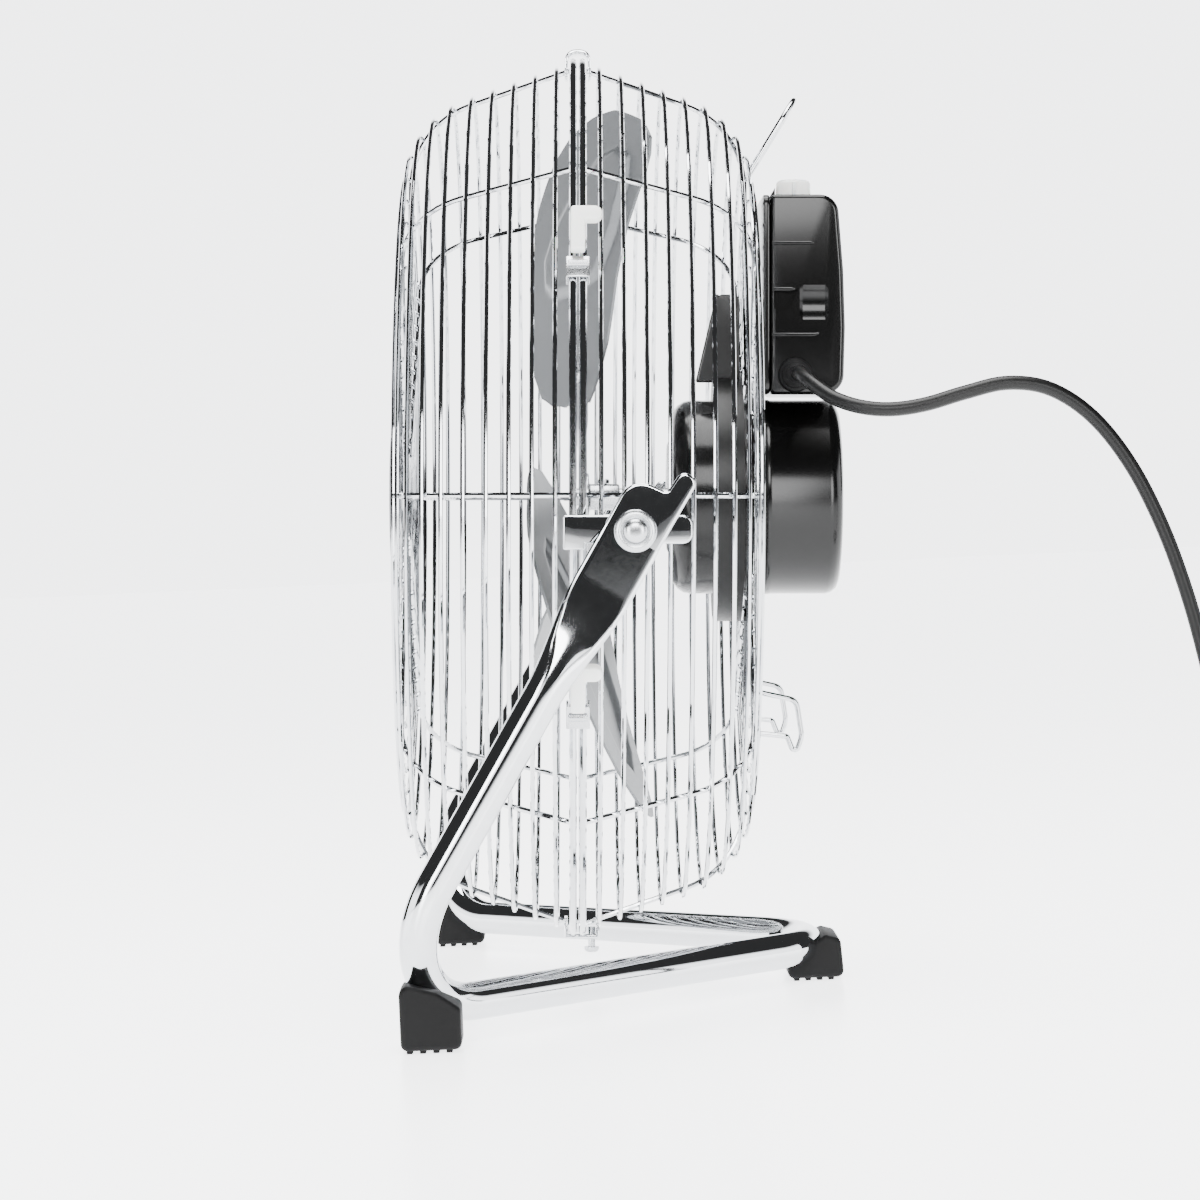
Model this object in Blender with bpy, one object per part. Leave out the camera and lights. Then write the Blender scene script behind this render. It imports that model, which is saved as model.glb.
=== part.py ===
"""Desk fan with a tilting wire-guard head on a bent tube stand.

Metres, +Z up. The fan blows towards -Y, and the tilt pivots lie along X. The
head is drawn about the centre of its guard (the fan axis is the local Y axis),
and empties carry it to the pivots. The origin is on the ground, in the middle.
"""

from math import acos, atan2, ceil, cos, hypot, pi, radians, sin, tan

import bmesh
import bpy
from mathutils import Matrix, Vector

# Driving dimensions
GUARD_R = 0.200              # outer radius of the two hoops
FAN_R = 0.1775               # radius swept by the blade tips
PIVOT = Vector((0.0, 0.0033, 0.2082))
REST_TILT = radians(2.5)     # the head leans back this much at rest
GUARD_BEHIND = -0.0233       # guard centre from the pivot, along the fan axis
GUARD_ABOVE = 0.01455        # guard centre from the pivot, across the fan axis
FIT = 0.0003                 # gap between neighbouring pieces

# Stand
TUBE_R = 0.008
TUBE_SIDES = 12
TUBE_Z = 0.0155
ARM_X = 0.210
FRONT_CORNER = Vector((ARM_X, -0.1167, TUBE_Z))
REAR_CORNER = Vector((0.0, 0.1001, TUBE_Z))
FRONT_BEND = 0.042
REAR_BEND = 0.055
PLATE_T = 0.0032             # flattened tube end
PLATE_HALF = 0.0125
FLAT_END = 0.027             # from the pivot down to where the flat stops
ROUND_START = 0.078
FRONT_FOOT_X = 0.197
FRONT_FOOT_HALF = 0.0135
REAR_FOOT_HALF = 0.0225

# Pivot stack, along X from the guard outwards
STRAP_X = 0.2012
STRAP_T = 0.0020
RIVET_R = 0.0030
RIVET_HOLE = 0.0033

# Guard
HOOP_WIRE = 0.0032
RING_WIRE = 0.0020
HOOP_Y = 0.0021              # each hoop's centre from the joint plane
RING_PITCH = 0.0202          # along the profile
RIBS = 8
CONE = radians(19.2)         # slope of the guard's side
SIDE_LENGTH = 0.0530
SHOULDER_R = 0.042
FACE_DISH = 0.0018
HUB_RING_R = 0.0280
MOTOR_RING_R = 0.0520

# Motor and control box
MOTOR_R = 0.0443
MOTOR_FRONT = 0.0414
MOTOR_SPLIT = 0.0838
MOTOR_REAR = 0.1200
SHAFT_R = 0.004
BOX_HALF = 0.032
BOX_FRONT = 0.0836
BOX_REAR = 0.1206
BOX_BOTTOM = 0.0465
BOX_TOP = 0.1364
WALL = 0.0025
KNOB_Y = 0.0988
GLAND_Y = 0.0979
GLAND_Z = 0.0548

# Blades
BLADES = 3
BLADE_T = 0.0012
BLADE_RISE = 0.45            # axial rise per metre across the blade
ARM_HALF = 0.007

# Cord
CORD_R = 0.0032
COIL_CENTRE = Vector((0.140, 0.314, 0.0))
COIL_IN = 0.0290
COIL_OUT = 0.0430
COIL_TOP = 0.0180
TURN_R = 0.0395              # centreline of the outer turn


def clear_scene():
    for old in list(bpy.data.objects):
        bpy.data.objects.remove(old, do_unlink=True)


def finish(name, colour, roughness, metallic):
    mat = bpy.data.materials.new(name)
    mat.use_nodes = True
    shader = mat.node_tree.nodes["Principled BSDF"]
    shader.inputs["Base Color"].default_value = (*colour, 1.0)
    shader.inputs["Roughness"].default_value = roughness
    shader.inputs["Metallic"].default_value = metallic
    return mat


def empty(name, place, parent=None, turn=(0.0, 0.0, 0.0)):
    spot = bpy.data.objects.new(name, None)
    bpy.context.collection.objects.link(spot)
    spot.location = place
    spot.rotation_euler = turn
    spot.parent = parent
    return spot


def piece(name, bm, mat, parent=None, place=(0.0, 0.0, 0.0), turn=(0.0, 0.0, 0.0)):
    """Turn a bmesh into a named object, and free the bmesh."""
    mesh = bpy.data.meshes.new(name)
    bm.to_mesh(mesh)
    bm.free()
    mesh.materials.append(mat)
    mesh.shade_smooth()
    mesh.set_sharp_from_angle(angle=radians(35))
    obj = bpy.data.objects.new(name, mesh)
    bpy.context.collection.objects.link(obj)
    obj.location = place
    obj.rotation_euler = turn
    obj.parent = parent
    return obj


def tool(obj):
    """Mark an object as a cutter or an addition that isn't a piece itself."""
    obj.hide_render = True
    obj.display_type = "WIRE"
    return obj


def combine(target, other, operation):
    step = target.modifiers.new(operation.lower(), "BOOLEAN")
    step.operation = operation
    step.solver = "EXACT"
    step.object = tool(other)


def turned(outline, segments, axis="Y"):
    """Spin an outline of (radius, height) points about an axis into a solid.

    An outline that starts and ends on the axis makes a solid body. Any other
    outline is closed on itself and makes a ring.
    """
    to_world = {
        "X": lambda r, h: (h, r, 0.0),
        "Y": lambda r, h: (r, h, 0.0),
        "Z": lambda r, h: (r, 0.0, h),
    }[axis]
    spin_axis = {"X": (1, 0, 0), "Y": (0, 1, 0), "Z": (0, 0, 1)}[axis]
    bm = bmesh.new()
    verts = [bm.verts.new(to_world(r, h)) for r, h in outline]
    pairs = list(zip(verts, verts[1:]))
    if outline[0][0] > 0 or outline[-1][0] > 0:
        pairs.append((verts[-1], verts[0]))
    edges = [bm.edges.new(pair) for pair in pairs]
    bmesh.ops.spin(
        bm, geom=verts + edges, cent=(0, 0, 0), axis=spin_axis, angle=2 * pi,
        steps=segments, use_merge=True, use_duplicate=False,
    )
    bmesh.ops.remove_doubles(bm, verts=bm.verts, dist=1e-6)
    bmesh.ops.recalc_face_normals(bm, faces=bm.faces)
    return bm


def extruded(outline, low, high, plane="YZ"):
    """Extrude a flat outline between two heights along the plane's normal."""
    to_world = {
        "YZ": lambda a, b, h: (h, a, b),
        "XZ": lambda a, b, h: (a, h, b),
        "XY": lambda a, b, h: (a, b, h),
    }[plane]
    bm = bmesh.new()
    face = bm.faces.new([bm.verts.new(to_world(a, b, low)) for a, b in outline])
    grown = bmesh.ops.extrude_face_region(bm, geom=[face])
    moved = [part for part in grown["geom"] if isinstance(part, bmesh.types.BMVert)]
    shift = Vector(to_world(0.0, 0.0, high)) - Vector(to_world(0.0, 0.0, low))
    bmesh.ops.translate(bm, verts=moved, vec=shift)
    bmesh.ops.recalc_face_normals(bm, faces=bm.faces)
    return bm


def block(low, high, bevel=0.0):
    """A box between two corners, with its edges eased."""
    low, high = Vector(low), Vector(high)
    bm = bmesh.new()
    bmesh.ops.create_cube(bm, size=1.0)
    bmesh.ops.scale(bm, vec=high - low, verts=bm.verts)
    bmesh.ops.translate(bm, vec=(low + high) / 2, verts=bm.verts)
    if bevel:
        bmesh.ops.bevel(
            bm, geom=list(bm.edges), offset=bevel, segments=1, affect="EDGES", profile=0.5,
            material=-1,
        )
    return bm


def rounded(corners, steps=3):
    """A closed outline whose corners (a, b, radius) are rounded with arcs."""
    outline = []
    count = len(corners)
    for i, (a, b, radius) in enumerate(corners):
        here = Vector((a, b))
        if radius == 0.0:
            outline.append((a, b))
            continue
        back = (Vector(corners[i - 1][:2]) - here).normalized()
        ahead = (Vector(corners[(i + 1) % count][:2]) - here).normalized()
        half = acos(max(-1.0, min(1.0, back.dot(ahead)))) / 2
        centre = here + (back + ahead).normalized() * (radius / sin(half))
        start = here + back * (radius / tan(half)) - centre
        end = here + ahead * (radius / tan(half)) - centre
        sweep = atan2(start.x * end.y - start.y * end.x, start.dot(end))
        for step in range(steps + 1):
            angle = sweep * step / steps
            turned_arm = Matrix.Rotation(angle, 2) @ start
            outline.append(tuple(centre + turned_arm))
    return outline


def filleted_path(corners, radii, step):
    """Points along a bent rod: straight runs joined by arcs of the given radii."""
    points = [corners[0]]
    for before, here, after, radius in zip(corners, corners[1:], corners[2:], radii):
        back = (before - here).normalized()
        ahead = (after - here).normalized()
        half = back.angle(ahead) / 2
        centre = here + (back + ahead).normalized() * (radius / sin(half))
        start = here + back * (radius / tan(half)) - centre
        normal = start.cross(-back)
        sweep = pi - 2 * half
        count = 2 * ceil(sweep * radius / step / 2)
        for i in range(count + 1):
            turn = Matrix.Rotation(sweep * i / count, 3, normal)
            points.append(centre + turn @ start)
    points.append(corners[-1])
    return points


def rod(name, points, radius, mat, parent=None, resolution=1, closed=False):
    """A round rod or wire along points, with closed ends."""
    data = bpy.data.curves.new(name, "CURVE")
    data.dimensions = "3D"
    data.bevel_depth = radius
    data.bevel_resolution = resolution
    data.use_fill_caps = True
    spline = data.splines.new("POLY")
    spline.points.add(len(points) - 1)
    for spot, point in zip(spline.points, points):
        spot.co = (*point, 1.0)
    spline.use_cyclic_u = closed
    data.materials.append(mat)
    obj = bpy.data.objects.new(name, data)
    bpy.context.collection.objects.link(obj)
    obj.parent = parent
    return obj


def smooth_curve(points, per_span):
    """Points on a smooth curve through the given ones (Catmull-Rom)."""
    ends = [points[0] * 2 - points[1], *points, points[-1] * 2 - points[-2]]
    dense = []
    for p0, p1, p2, p3 in zip(ends, ends[1:], ends[2:], ends[3:]):
        for i in range(per_span):
            t = i / per_span
            dense.append(0.5 * (
                2 * p1 + (p2 - p0) * t + (2 * p0 - 5 * p1 + 4 * p2 - p3) * t ** 2
                + (3 * p1 - p0 - 3 * p2 + p3) * t ** 3
            ))
    dense.append(points[-1])
    return dense


def even_points(dense, gap):
    """Points an even distance apart along a dense curve, with both its ends."""
    lengths = [0.0]
    for a, b in zip(dense, dense[1:]):
        lengths.append(lengths[-1] + (b - a).length)
    count = round(lengths[-1] / gap)
    points = []
    j = 0
    for i in range(count + 1):
        want = lengths[-1] * i / count
        while j < len(dense) - 2 and lengths[j + 1] < want:
            j += 1
        share = (want - lengths[j]) / (lengths[j + 1] - lengths[j])
        points.append(dense[j].lerp(dense[j + 1], share))
    return points


# ---------------------------------------------------------------- the stand

def arm_axes():
    """Unit vectors up along the right arm and across it, in its YZ plane."""
    up = (Vector((ARM_X, PIVOT.y, PIVOT.z)) - FRONT_CORNER).normalized()
    across = Vector((0.0, up.z, -up.y))
    return up, across


def tube_section(centre, along, flat_dir, share, grow):
    """A ring of points: round at share 0, a flat stadium at share 1."""
    thin_dir = along.cross(flat_dir)
    wide = TUBE_R + grow + (PLATE_HALF - TUBE_R) * share
    thin = TUBE_R + grow + (PLATE_T / 2 - TUBE_R) * share
    square = share * 0.6
    ring = []
    for i in range(TUBE_SIDES):
        angle = 2 * pi * (i + 0.5) / TUBE_SIDES
        c, s = cos(angle), sin(angle)
        c += square * (max(-1.0, min(1.0, c * 1.4)) - c)
        s += square * (max(-1.0, min(1.0, s * 1.4)) - s)
        ring.append(centre + flat_dir * wide * c + thin_dir * thin * s)
    return ring


def stand_sweep(path, shares, grow=0.0):
    """Sweep the right half of the bent tube to the middle, and mirror it."""
    bm = bmesh.new()
    rings = []
    flat_dir = arm_axes()[1]
    for i, centre in enumerate(path):
        along = (path[min(i + 1, len(path) - 1)] - path[max(i - 1, 0)]).normalized()
        if i == len(path) - 1:
            along = Vector((-1.0, 0.0, 0.0))
        flat_dir = (flat_dir - along * flat_dir.dot(along)).normalized()
        spots = tube_section(centre, along, flat_dir, shares[i], grow)
        rings.append([bm.verts.new(spot) for spot in spots])
    for ring, following in zip(rings, rings[1:]):
        for j in range(TUBE_SIDES):
            k = (j + 1) % TUBE_SIDES
            bm.faces.new((ring[j], ring[k], following[k], following[j]))
    bm.faces.new(rings[0])
    whole = bm.verts[:] + bm.edges[:] + bm.faces[:]
    bmesh.ops.mirror(bm, geom=whole, merge_dist=1e-6, axis="X")
    bmesh.ops.recalc_face_normals(bm, faces=bm.faces)
    return bm


def half_tube_path():
    """The right half of the stand's centreline, from the pivot to the rear."""
    up = arm_axes()[0]
    top = Vector((ARM_X, PIVOT.y, PIVOT.z)) + up * 0.004
    left_corner = Vector((-FRONT_CORNER.x, FRONT_CORNER.y, FRONT_CORNER.z))
    whole = filleted_path(
        [top, FRONT_CORNER, REAR_CORNER, left_corner], [FRONT_BEND, REAR_BEND], 0.0085
    )
    half = [point for point in whole if point.x > -1e-5]
    half[-1].x = 0.0
    stops = [top - up * d for d in (0.016, FLAT_END + 0.004, 0.044, 0.056, 0.068, ROUND_START)]
    return [half[0], *stops, *half[1:]]


def make_stand(chrome):
    up, across = arm_axes()
    path = half_tube_path()
    pivot_at = Vector((ARM_X, PIVOT.y, PIVOT.z))
    shares = []
    for point in path:
        down = (pivot_at - point).dot(up)
        share = 1.0 - (down - FLAT_END) / (ROUND_START - FLAT_END)
        shares.append(max(0.0, min(1.0, share)))
    stand = piece("stand_tube", stand_sweep(path, shares), chrome)
    for side in (1, -1):
        plate = piece("plate_tool", end_plate(side, up, across), chrome)
        combine(stand, plate, "UNION")
    hole = turned([(0, -0.3), (RIVET_HOLE, -0.3), (RIVET_HOLE, 0.3), (0, 0.3)], 16, "X")
    combine(stand, piece("hole_tool", hole, chrome, place=PIVOT), "DIFFERENCE")
    return path


def end_plate(side, up, across):
    """The flattened tube end with its round lobe and its stop finger."""
    corners = [
        (-PLATE_HALF, -0.022, 0.0), (PLATE_HALF, -0.022, 0.0), (0.0120, 0.0290, 0.0015),
        (0.0062, 0.0308, 0.0010), (0.0040, 0.0200, 0.0), (-0.0125, 0.0185, 0.0085),
    ]
    outline = rounded(corners)
    low = side * ARM_X - PLATE_T * 0.49
    high = side * ARM_X + PLATE_T * 0.49
    placed = []
    for w, h in outline:
        spot = Vector((0.0, PIVOT.y, PIVOT.z)) + across * w + up * h
        placed.append((spot.y, spot.z))
    return extruded(placed, low, high)


def make_feet(path, rubber):
    """Rubber boots under the two front bends and the rear bend."""
    front = FRONT_CORNER.y
    outline = rounded([
        (front + 0.0157, 0.0, 0.003), (front + 0.0407, 0.0, 0.003),
        (front + 0.0407, 0.0180, 0.003), (front + 0.0312, 0.0245, 0.003),
        (front + 0.0157, 0.0290, 0.004),
    ])
    for side, name in ((1, "front_foot_right"), (-1, "front_foot_left")):
        x = side * FRONT_FOOT_X
        foot = extruded(outline, x - FRONT_FOOT_HALF, x + FRONT_FOOT_HALF)
        foot = piece(name, foot, rubber)
        combine(foot, path_tool(path, rubber), "DIFFERENCE")
    rear = REAR_CORNER.y
    outline = rounded([
        (rear - 0.0336, 0.0, 0.003), (rear - 0.0081, 0.0, 0.003), (rear - 0.0091, 0.0175, 0.002),
        (rear - 0.0161, 0.0175, 0.0), (rear - 0.0336, 0.0085, 0.002),
    ])
    foot = piece("rear_foot", extruded(outline, -REAR_FOOT_HALF, REAR_FOOT_HALF), rubber)
    combine(foot, path_tool(path, rubber), "DIFFERENCE")


def path_tool(path, mat):
    """The tube's own space, a little larger, to cut the feet with."""
    return piece("path_tool", stand_sweep(path, [0.0] * len(path), FIT), mat)


def make_pivots(steel, nylon):
    strap_out = STRAP_X + STRAP_T
    plate_in = ARM_X - PLATE_T / 2
    plate_out = ARM_X + PLATE_T / 2
    washer_out = plate_out + FIT + 0.0016
    for side, word in ((1, "right"), (-1, "left")):
        spacer = [
            (RIVET_HOLE, strap_out + FIT), (0.008, strap_out + FIT),
            (0.008, plate_in - FIT), (RIVET_HOLE, plate_in - FIT),
        ]
        washer = [
            (RIVET_HOLE, plate_out + FIT), (0.00875, plate_out + FIT),
            (0.00875, plate_out + 0.0009), (0.0070, washer_out), (RIVET_HOLE, washer_out),
        ]
        rivet = [
            (0.0, STRAP_X - 0.0033), (0.0046, STRAP_X - 0.0033), (0.0046, STRAP_X - FIT),
            (RIVET_R, STRAP_X - FIT), (RIVET_R, washer_out + FIT),
            (0.00495, washer_out + FIT), (0.0046, washer_out + 0.0022),
            (0.0030, washer_out + 0.0030), (0.0, washer_out + 0.0032),
        ]
        for name, outline, mat in (
            ("pivot_spacer", spacer, nylon), ("pivot_washer", washer, steel),
            ("pivot_rivet", rivet, steel),
        ):
            sided = [(r, side * x) for r, x in outline]
            piece(f"{name}_{word}", turned(sided, 16, "X"), mat, place=PIVOT)


# ---------------------------------------------------------------- the guard

def guard_profile(s):
    """Depth from the joint plane and radius at a length along the guard."""
    start_r = GUARD_R - HOOP_WIRE / 2 + HOOP_Y * tan(CONE) - 0.0004
    if s <= SIDE_LENGTH:
        return s * cos(CONE), start_r - s * sin(CONE)
    depth = SIDE_LENGTH * cos(CONE) - SHOULDER_R * sin(CONE)
    radius = start_r - SIDE_LENGTH * sin(CONE) - SHOULDER_R * cos(CONE)
    bend = CONE + (s - SIDE_LENGTH) / SHOULDER_R
    if bend <= pi / 2:
        return depth + SHOULDER_R * sin(bend), radius + SHOULDER_R * cos(bend)
    run = s - SIDE_LENGTH - SHOULDER_R * (pi / 2 - CONE)
    return depth + SHOULDER_R + FACE_DISH * run / radius, radius - run


def guard_rings(last_radius):
    """(depth, radius, wire) of every ring, from the hoop to the middle."""
    rings = [(HOOP_Y, GUARD_R - HOOP_WIRE / 2, HOOP_WIRE)]
    s = RING_PITCH
    while guard_profile(s)[1] > last_radius + RING_PITCH / 2:
        rings.append((*guard_profile(s), RING_WIRE))
        s += RING_PITCH
    rings.append((rings[-1][0] + 0.0002, last_radius, RING_WIRE))
    return rings


def wire_cage(rings, side):
    """Rings tied by ribs, as one closed body of square-section wire."""
    bm = bmesh.new()
    per_rib = 4
    count = RIBS * per_rib
    loops = []
    for i, (depth, radius, wire) in enumerate(rings):
        last = len(rings) - 1
        before = Vector(rings[max(i - 1, 0)][:2])
        after = Vector(rings[min(i + 1, last)][:2])
        along = (after - before).normalized() if i else Vector((1.0, 0.0))
        out = Vector((-along.y, along.x))
        half = wire / 2
        middle = Vector((depth, radius))
        corners = [
            middle - along * half + out * half, middle + along * half + out * half,
            middle + along * half - out * half, middle - along * half - out * half,
        ]
        spread = RING_WIRE / 2 / radius
        loops.append([])
        for rib in range(RIBS):
            at = 2 * pi * rib / RIBS
            gap = 2 * pi / RIBS
            for angle in (at - spread, at + spread, at + gap / 3, at + 2 * gap / 3):
                loops[-1].append([
                    bm.verts.new((c.y * cos(angle), side * c.x, c.y * sin(angle)))
                    for c in corners
                ])
    for i, loop in enumerate(loops):
        for j in range(count):
            here, there = loop[j], loop[(j + 1) % count]
            on_rib = j % per_rib == 0
            sides = [(0, 1), (2, 3)]
            if not (on_rib and i < len(loops) - 1):
                sides.append((1, 2))
            if not (on_rib and i > 0):
                sides.append((3, 0))
            for a, b in sides:
                bm.faces.new((here[a], there[a], there[b], here[b]))
    for loop, inner in zip(loops, loops[1:]):
        for rib in range(RIBS):
            j = rib * per_rib
            near = (loop[j][1], loop[j + 1][1], loop[j + 1][2], loop[j][2])
            far = (inner[j][0], inner[j + 1][0], inner[j + 1][3], inner[j][3])
            for a, b in ((0, 1), (1, 2), (2, 3), (3, 0)):
                bm.faces.new((near[a], near[b], far[b], far[a]))
    bmesh.ops.recalc_face_normals(bm, faces=bm.faces)
    return bm


def make_guard(head, chrome, white, steel, grey):
    piece("front_guard", wire_cage(guard_rings(HUB_RING_R), -1), chrome, head)
    piece("rear_guard", wire_cage(guard_rings(MOTOR_RING_R), 1), chrome, head)
    face = guard_rings(HUB_RING_R)[-1][0] + RING_WIRE / 2 + FIT
    badge = [
        (0.0, -face), (0.0345, -face), (0.0345, -face - 0.0012), (0.0330, -face - 0.0022),
        (0.0, -face - 0.0026),
    ]
    piece("front_badge", turned(badge, 24), grey, head)
    for name, angle in (
        ("upper_right", radians(29.6)), ("lower_right", radians(-25.8)),
        ("upper_left", radians(150.4)), ("lower_left", radians(205.8)),
    ):
        make_clip(name, angle, head, white, steel)
    hook = hoop_saddle(0.0195, 0.0016, -0.0060, 0.0060, 0.0090)
    hook = piece("top_hook", hook, chrome, head, turn=(0.0, -pi / 2, 0.0))
    saddle = hoop_saddle(0.0140, 0.0016, -0.0062, 0.0100, 0.0075)
    lower = piece("bottom_clamp", saddle, chrome, head, turn=(0.0, pi / 2, 0.0))
    for target, turn in ((hook, -pi / 2), (lower, pi / 2)):
        slot = block((0.185, -0.012, -0.0018), (GUARD_R + FIT, 0.012, 0.0018))
        combine(target, piece("rib_slot", slot, steel, head, turn=(0.0, turn, 0.0)), "DIFFERENCE")
    beside_rib = (0.0040, 0.0064, 0.0)
    hole = turned([(0, 0.190), (0.0019, 0.190), (0.0019, 0.215), (0, 0.215)], 12, "X")
    drill = piece("clamp_hole", hole, steel, head, place=beside_rib, turn=(0.0, pi / 2, 0.0))
    combine(lower, drill, "DIFFERENCE")
    screw = [
        (0.0, 0.2018 - 0.0090), (0.0016, 0.2018 - 0.0090), (0.0016, 0.2021 + 0.0003),
        (0.0034, 0.2024), (0.0034, 0.2036), (0.0022, 0.2046), (0.0, 0.2048),
    ]
    screw = turned(screw, 12, "X")
    piece("bottom_clamp_screw", screw, steel, head, place=beside_rib, turn=(0.0, pi / 2, 0.0))


def hoop_saddle(length, thick, y_low, y_high, depth):
    """A strap of U section laid over both hoops, at +X, along the hoop."""
    inner = GUARD_R + FIT
    outline = [
        (inner - depth, y_low), (inner + thick, y_low), (inner + thick, y_high),
        (inner - depth, y_high), (inner - depth, y_high - thick), (inner, y_high - thick),
        (inner, y_low + thick), (inner - depth, y_low + thick),
    ]
    return extruded(outline, -length / 2, length / 2, "XY")


def make_clip(name, angle, head, white, steel):
    """A metal saddle on the hoops with a white lever hinged at its lower end."""
    up_sign = 1 if cos(angle) > 0 else -1
    lean = -angle if up_sign > 0 else pi - angle
    hinge_r = 0.2040
    saddle = hoop_saddle(0.0080, 0.0012, -0.0058, 0.0058, 0.0070)
    if up_sign < 0:
        bmesh.ops.rotate(saddle, verts=saddle.verts, matrix=Matrix.Rotation(pi, 3, "Z"))
    slide = Vector((0.0, 0.0, -0.0052))
    bmesh.ops.translate(saddle, verts=saddle.verts, vec=slide)
    turn = (0.0, lean, 0.0)
    piece(f"clip_{name}", saddle, steel, head, turn=turn)
    hinge = empty(
        f"clip_hinge_{name}", (hinge_r * cos(angle), 0.0, hinge_r * sin(angle)), head, turn
    )
    s = up_sign
    corners = rounded([
        (-0.0031, 0.0, 0.0008), (0.0030, 0.0, 0.0008), (0.0030, 0.0148, 0.0),
        (0.0100, 0.0148, 0.0032), (0.0100, 0.0214, 0.0032), (-0.0031, 0.0214, 0.0012),
    ])
    low, high = sorted((s * -0.0016, s * 0.0030))
    lever = extruded(corners, low, high)
    piece(f"clip_lever_{name}", lever, white, hinge)


# ---------------------------------------------------------------- head frame

def make_head_frame(head, chrome, black_steel):
    for side, word in ((1, "right"), (-1, "left")):
        make_side_bracket(side, word, head, chrome)
    ring = [
        (MOTOR_R + 0.0007, 0.0620), (0.0570, 0.0620), (0.0570, 0.0745),
        (0.0552, 0.0745), (0.0552, 0.0638), (MOTOR_R + 0.0007, 0.0638),
    ]
    bracket = piece("motor_bracket", turned(ring, 24), black_steel, head)
    tongue = block((-0.018, 0.0622, 0.054), (0.018, 0.0642, 0.092))
    combine(bracket, piece("tongue_tool", tongue, black_steel, head), "UNION")
    for x in (-0.018, 0.0162):
        outline = [(0.0544, 0.0545), (0.0735, 0.0545), (0.0735, 0.092), (0.0635, 0.092)]
        ear = extruded(outline, x, x + 0.0018)
        combine(bracket, piece("ear_tool", ear, black_steel, head), "UNION")
    bail = filleted_path(
        [Vector(p) for p in (
            (-0.036, 0.0785, 0.1480), (-0.036, 0.0978, 0.1795),
            (0.036, 0.0978, 0.1795), (0.036, 0.0785, 0.1480),
        )],
        [0.014, 0.014], 0.006,
    )
    rod("handle", bail, 0.0013, chrome, head)
    for side, word in ((1, "right"), (-1, "left")):
        x = side * 0.066
        loop = filleted_path(
            [Vector(p) for p in (
                (x, 0.0812, -0.092), (x, 0.0985, -0.092),
                (x, 0.0985, -0.108), (x, 0.0812, -0.108),
            )],
            [0.0055, 0.0055], 0.003,
        )
        rod(f"cord_hook_{word}", loop, 0.0012, chrome, head)


def make_side_bracket(side, word, head, chrome):
    """The strap that joins the hoops to the pivot, with a tab to the rear ring."""
    back = -GUARD_BEHIND
    down = -GUARD_ABOVE
    corners = rounded([
        (back - 0.0294, down - 0.0078, 0.001), (back - 0.0204, down - 0.0078, 0.001),
        (back - 0.0204, down - 0.0052, 0.0), (back + 0.0234, down - 0.0052, 0.004),
        (back + 0.0234, down + 0.0064, 0.004), (back - 0.0294, down + 0.0064, 0.001),
    ])
    inner, outer = side * STRAP_X, side * (STRAP_X + STRAP_T)
    low, high = sorted((inner, outer))
    strap = piece(f"side_bracket_{word}", extruded(corners, low, high), chrome, head)
    lip_low, lip_high = sorted((side * 0.1945, side * (STRAP_X + 0.001)))
    lip = block(
        (lip_low, back - 0.0292, down - 0.0070), (lip_high, back - 0.0278, down + 0.0056)
    )
    combine(strap, piece("lip_tool", lip, chrome, head), "UNION")
    tab_low, tab_high = sorted((side * 0.1868, side * (STRAP_X + 0.001)))
    tab = block(
        (tab_low, back + 0.0212, down - 0.0030), (tab_high, back + 0.0228, down + 0.0045)
    )
    combine(strap, piece("tab_tool", tab, chrome, head), "UNION")
    hole = turned([(0, -0.01), (RIVET_HOLE, -0.01), (RIVET_HOLE, 0.01), (0, 0.01)], 16, "X")
    drill = piece("rivet_tool", hole, chrome, head, place=(side * STRAP_X, back, down))
    combine(strap, drill, "DIFFERENCE")


# ---------------------------------------------------------------- the motor

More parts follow.
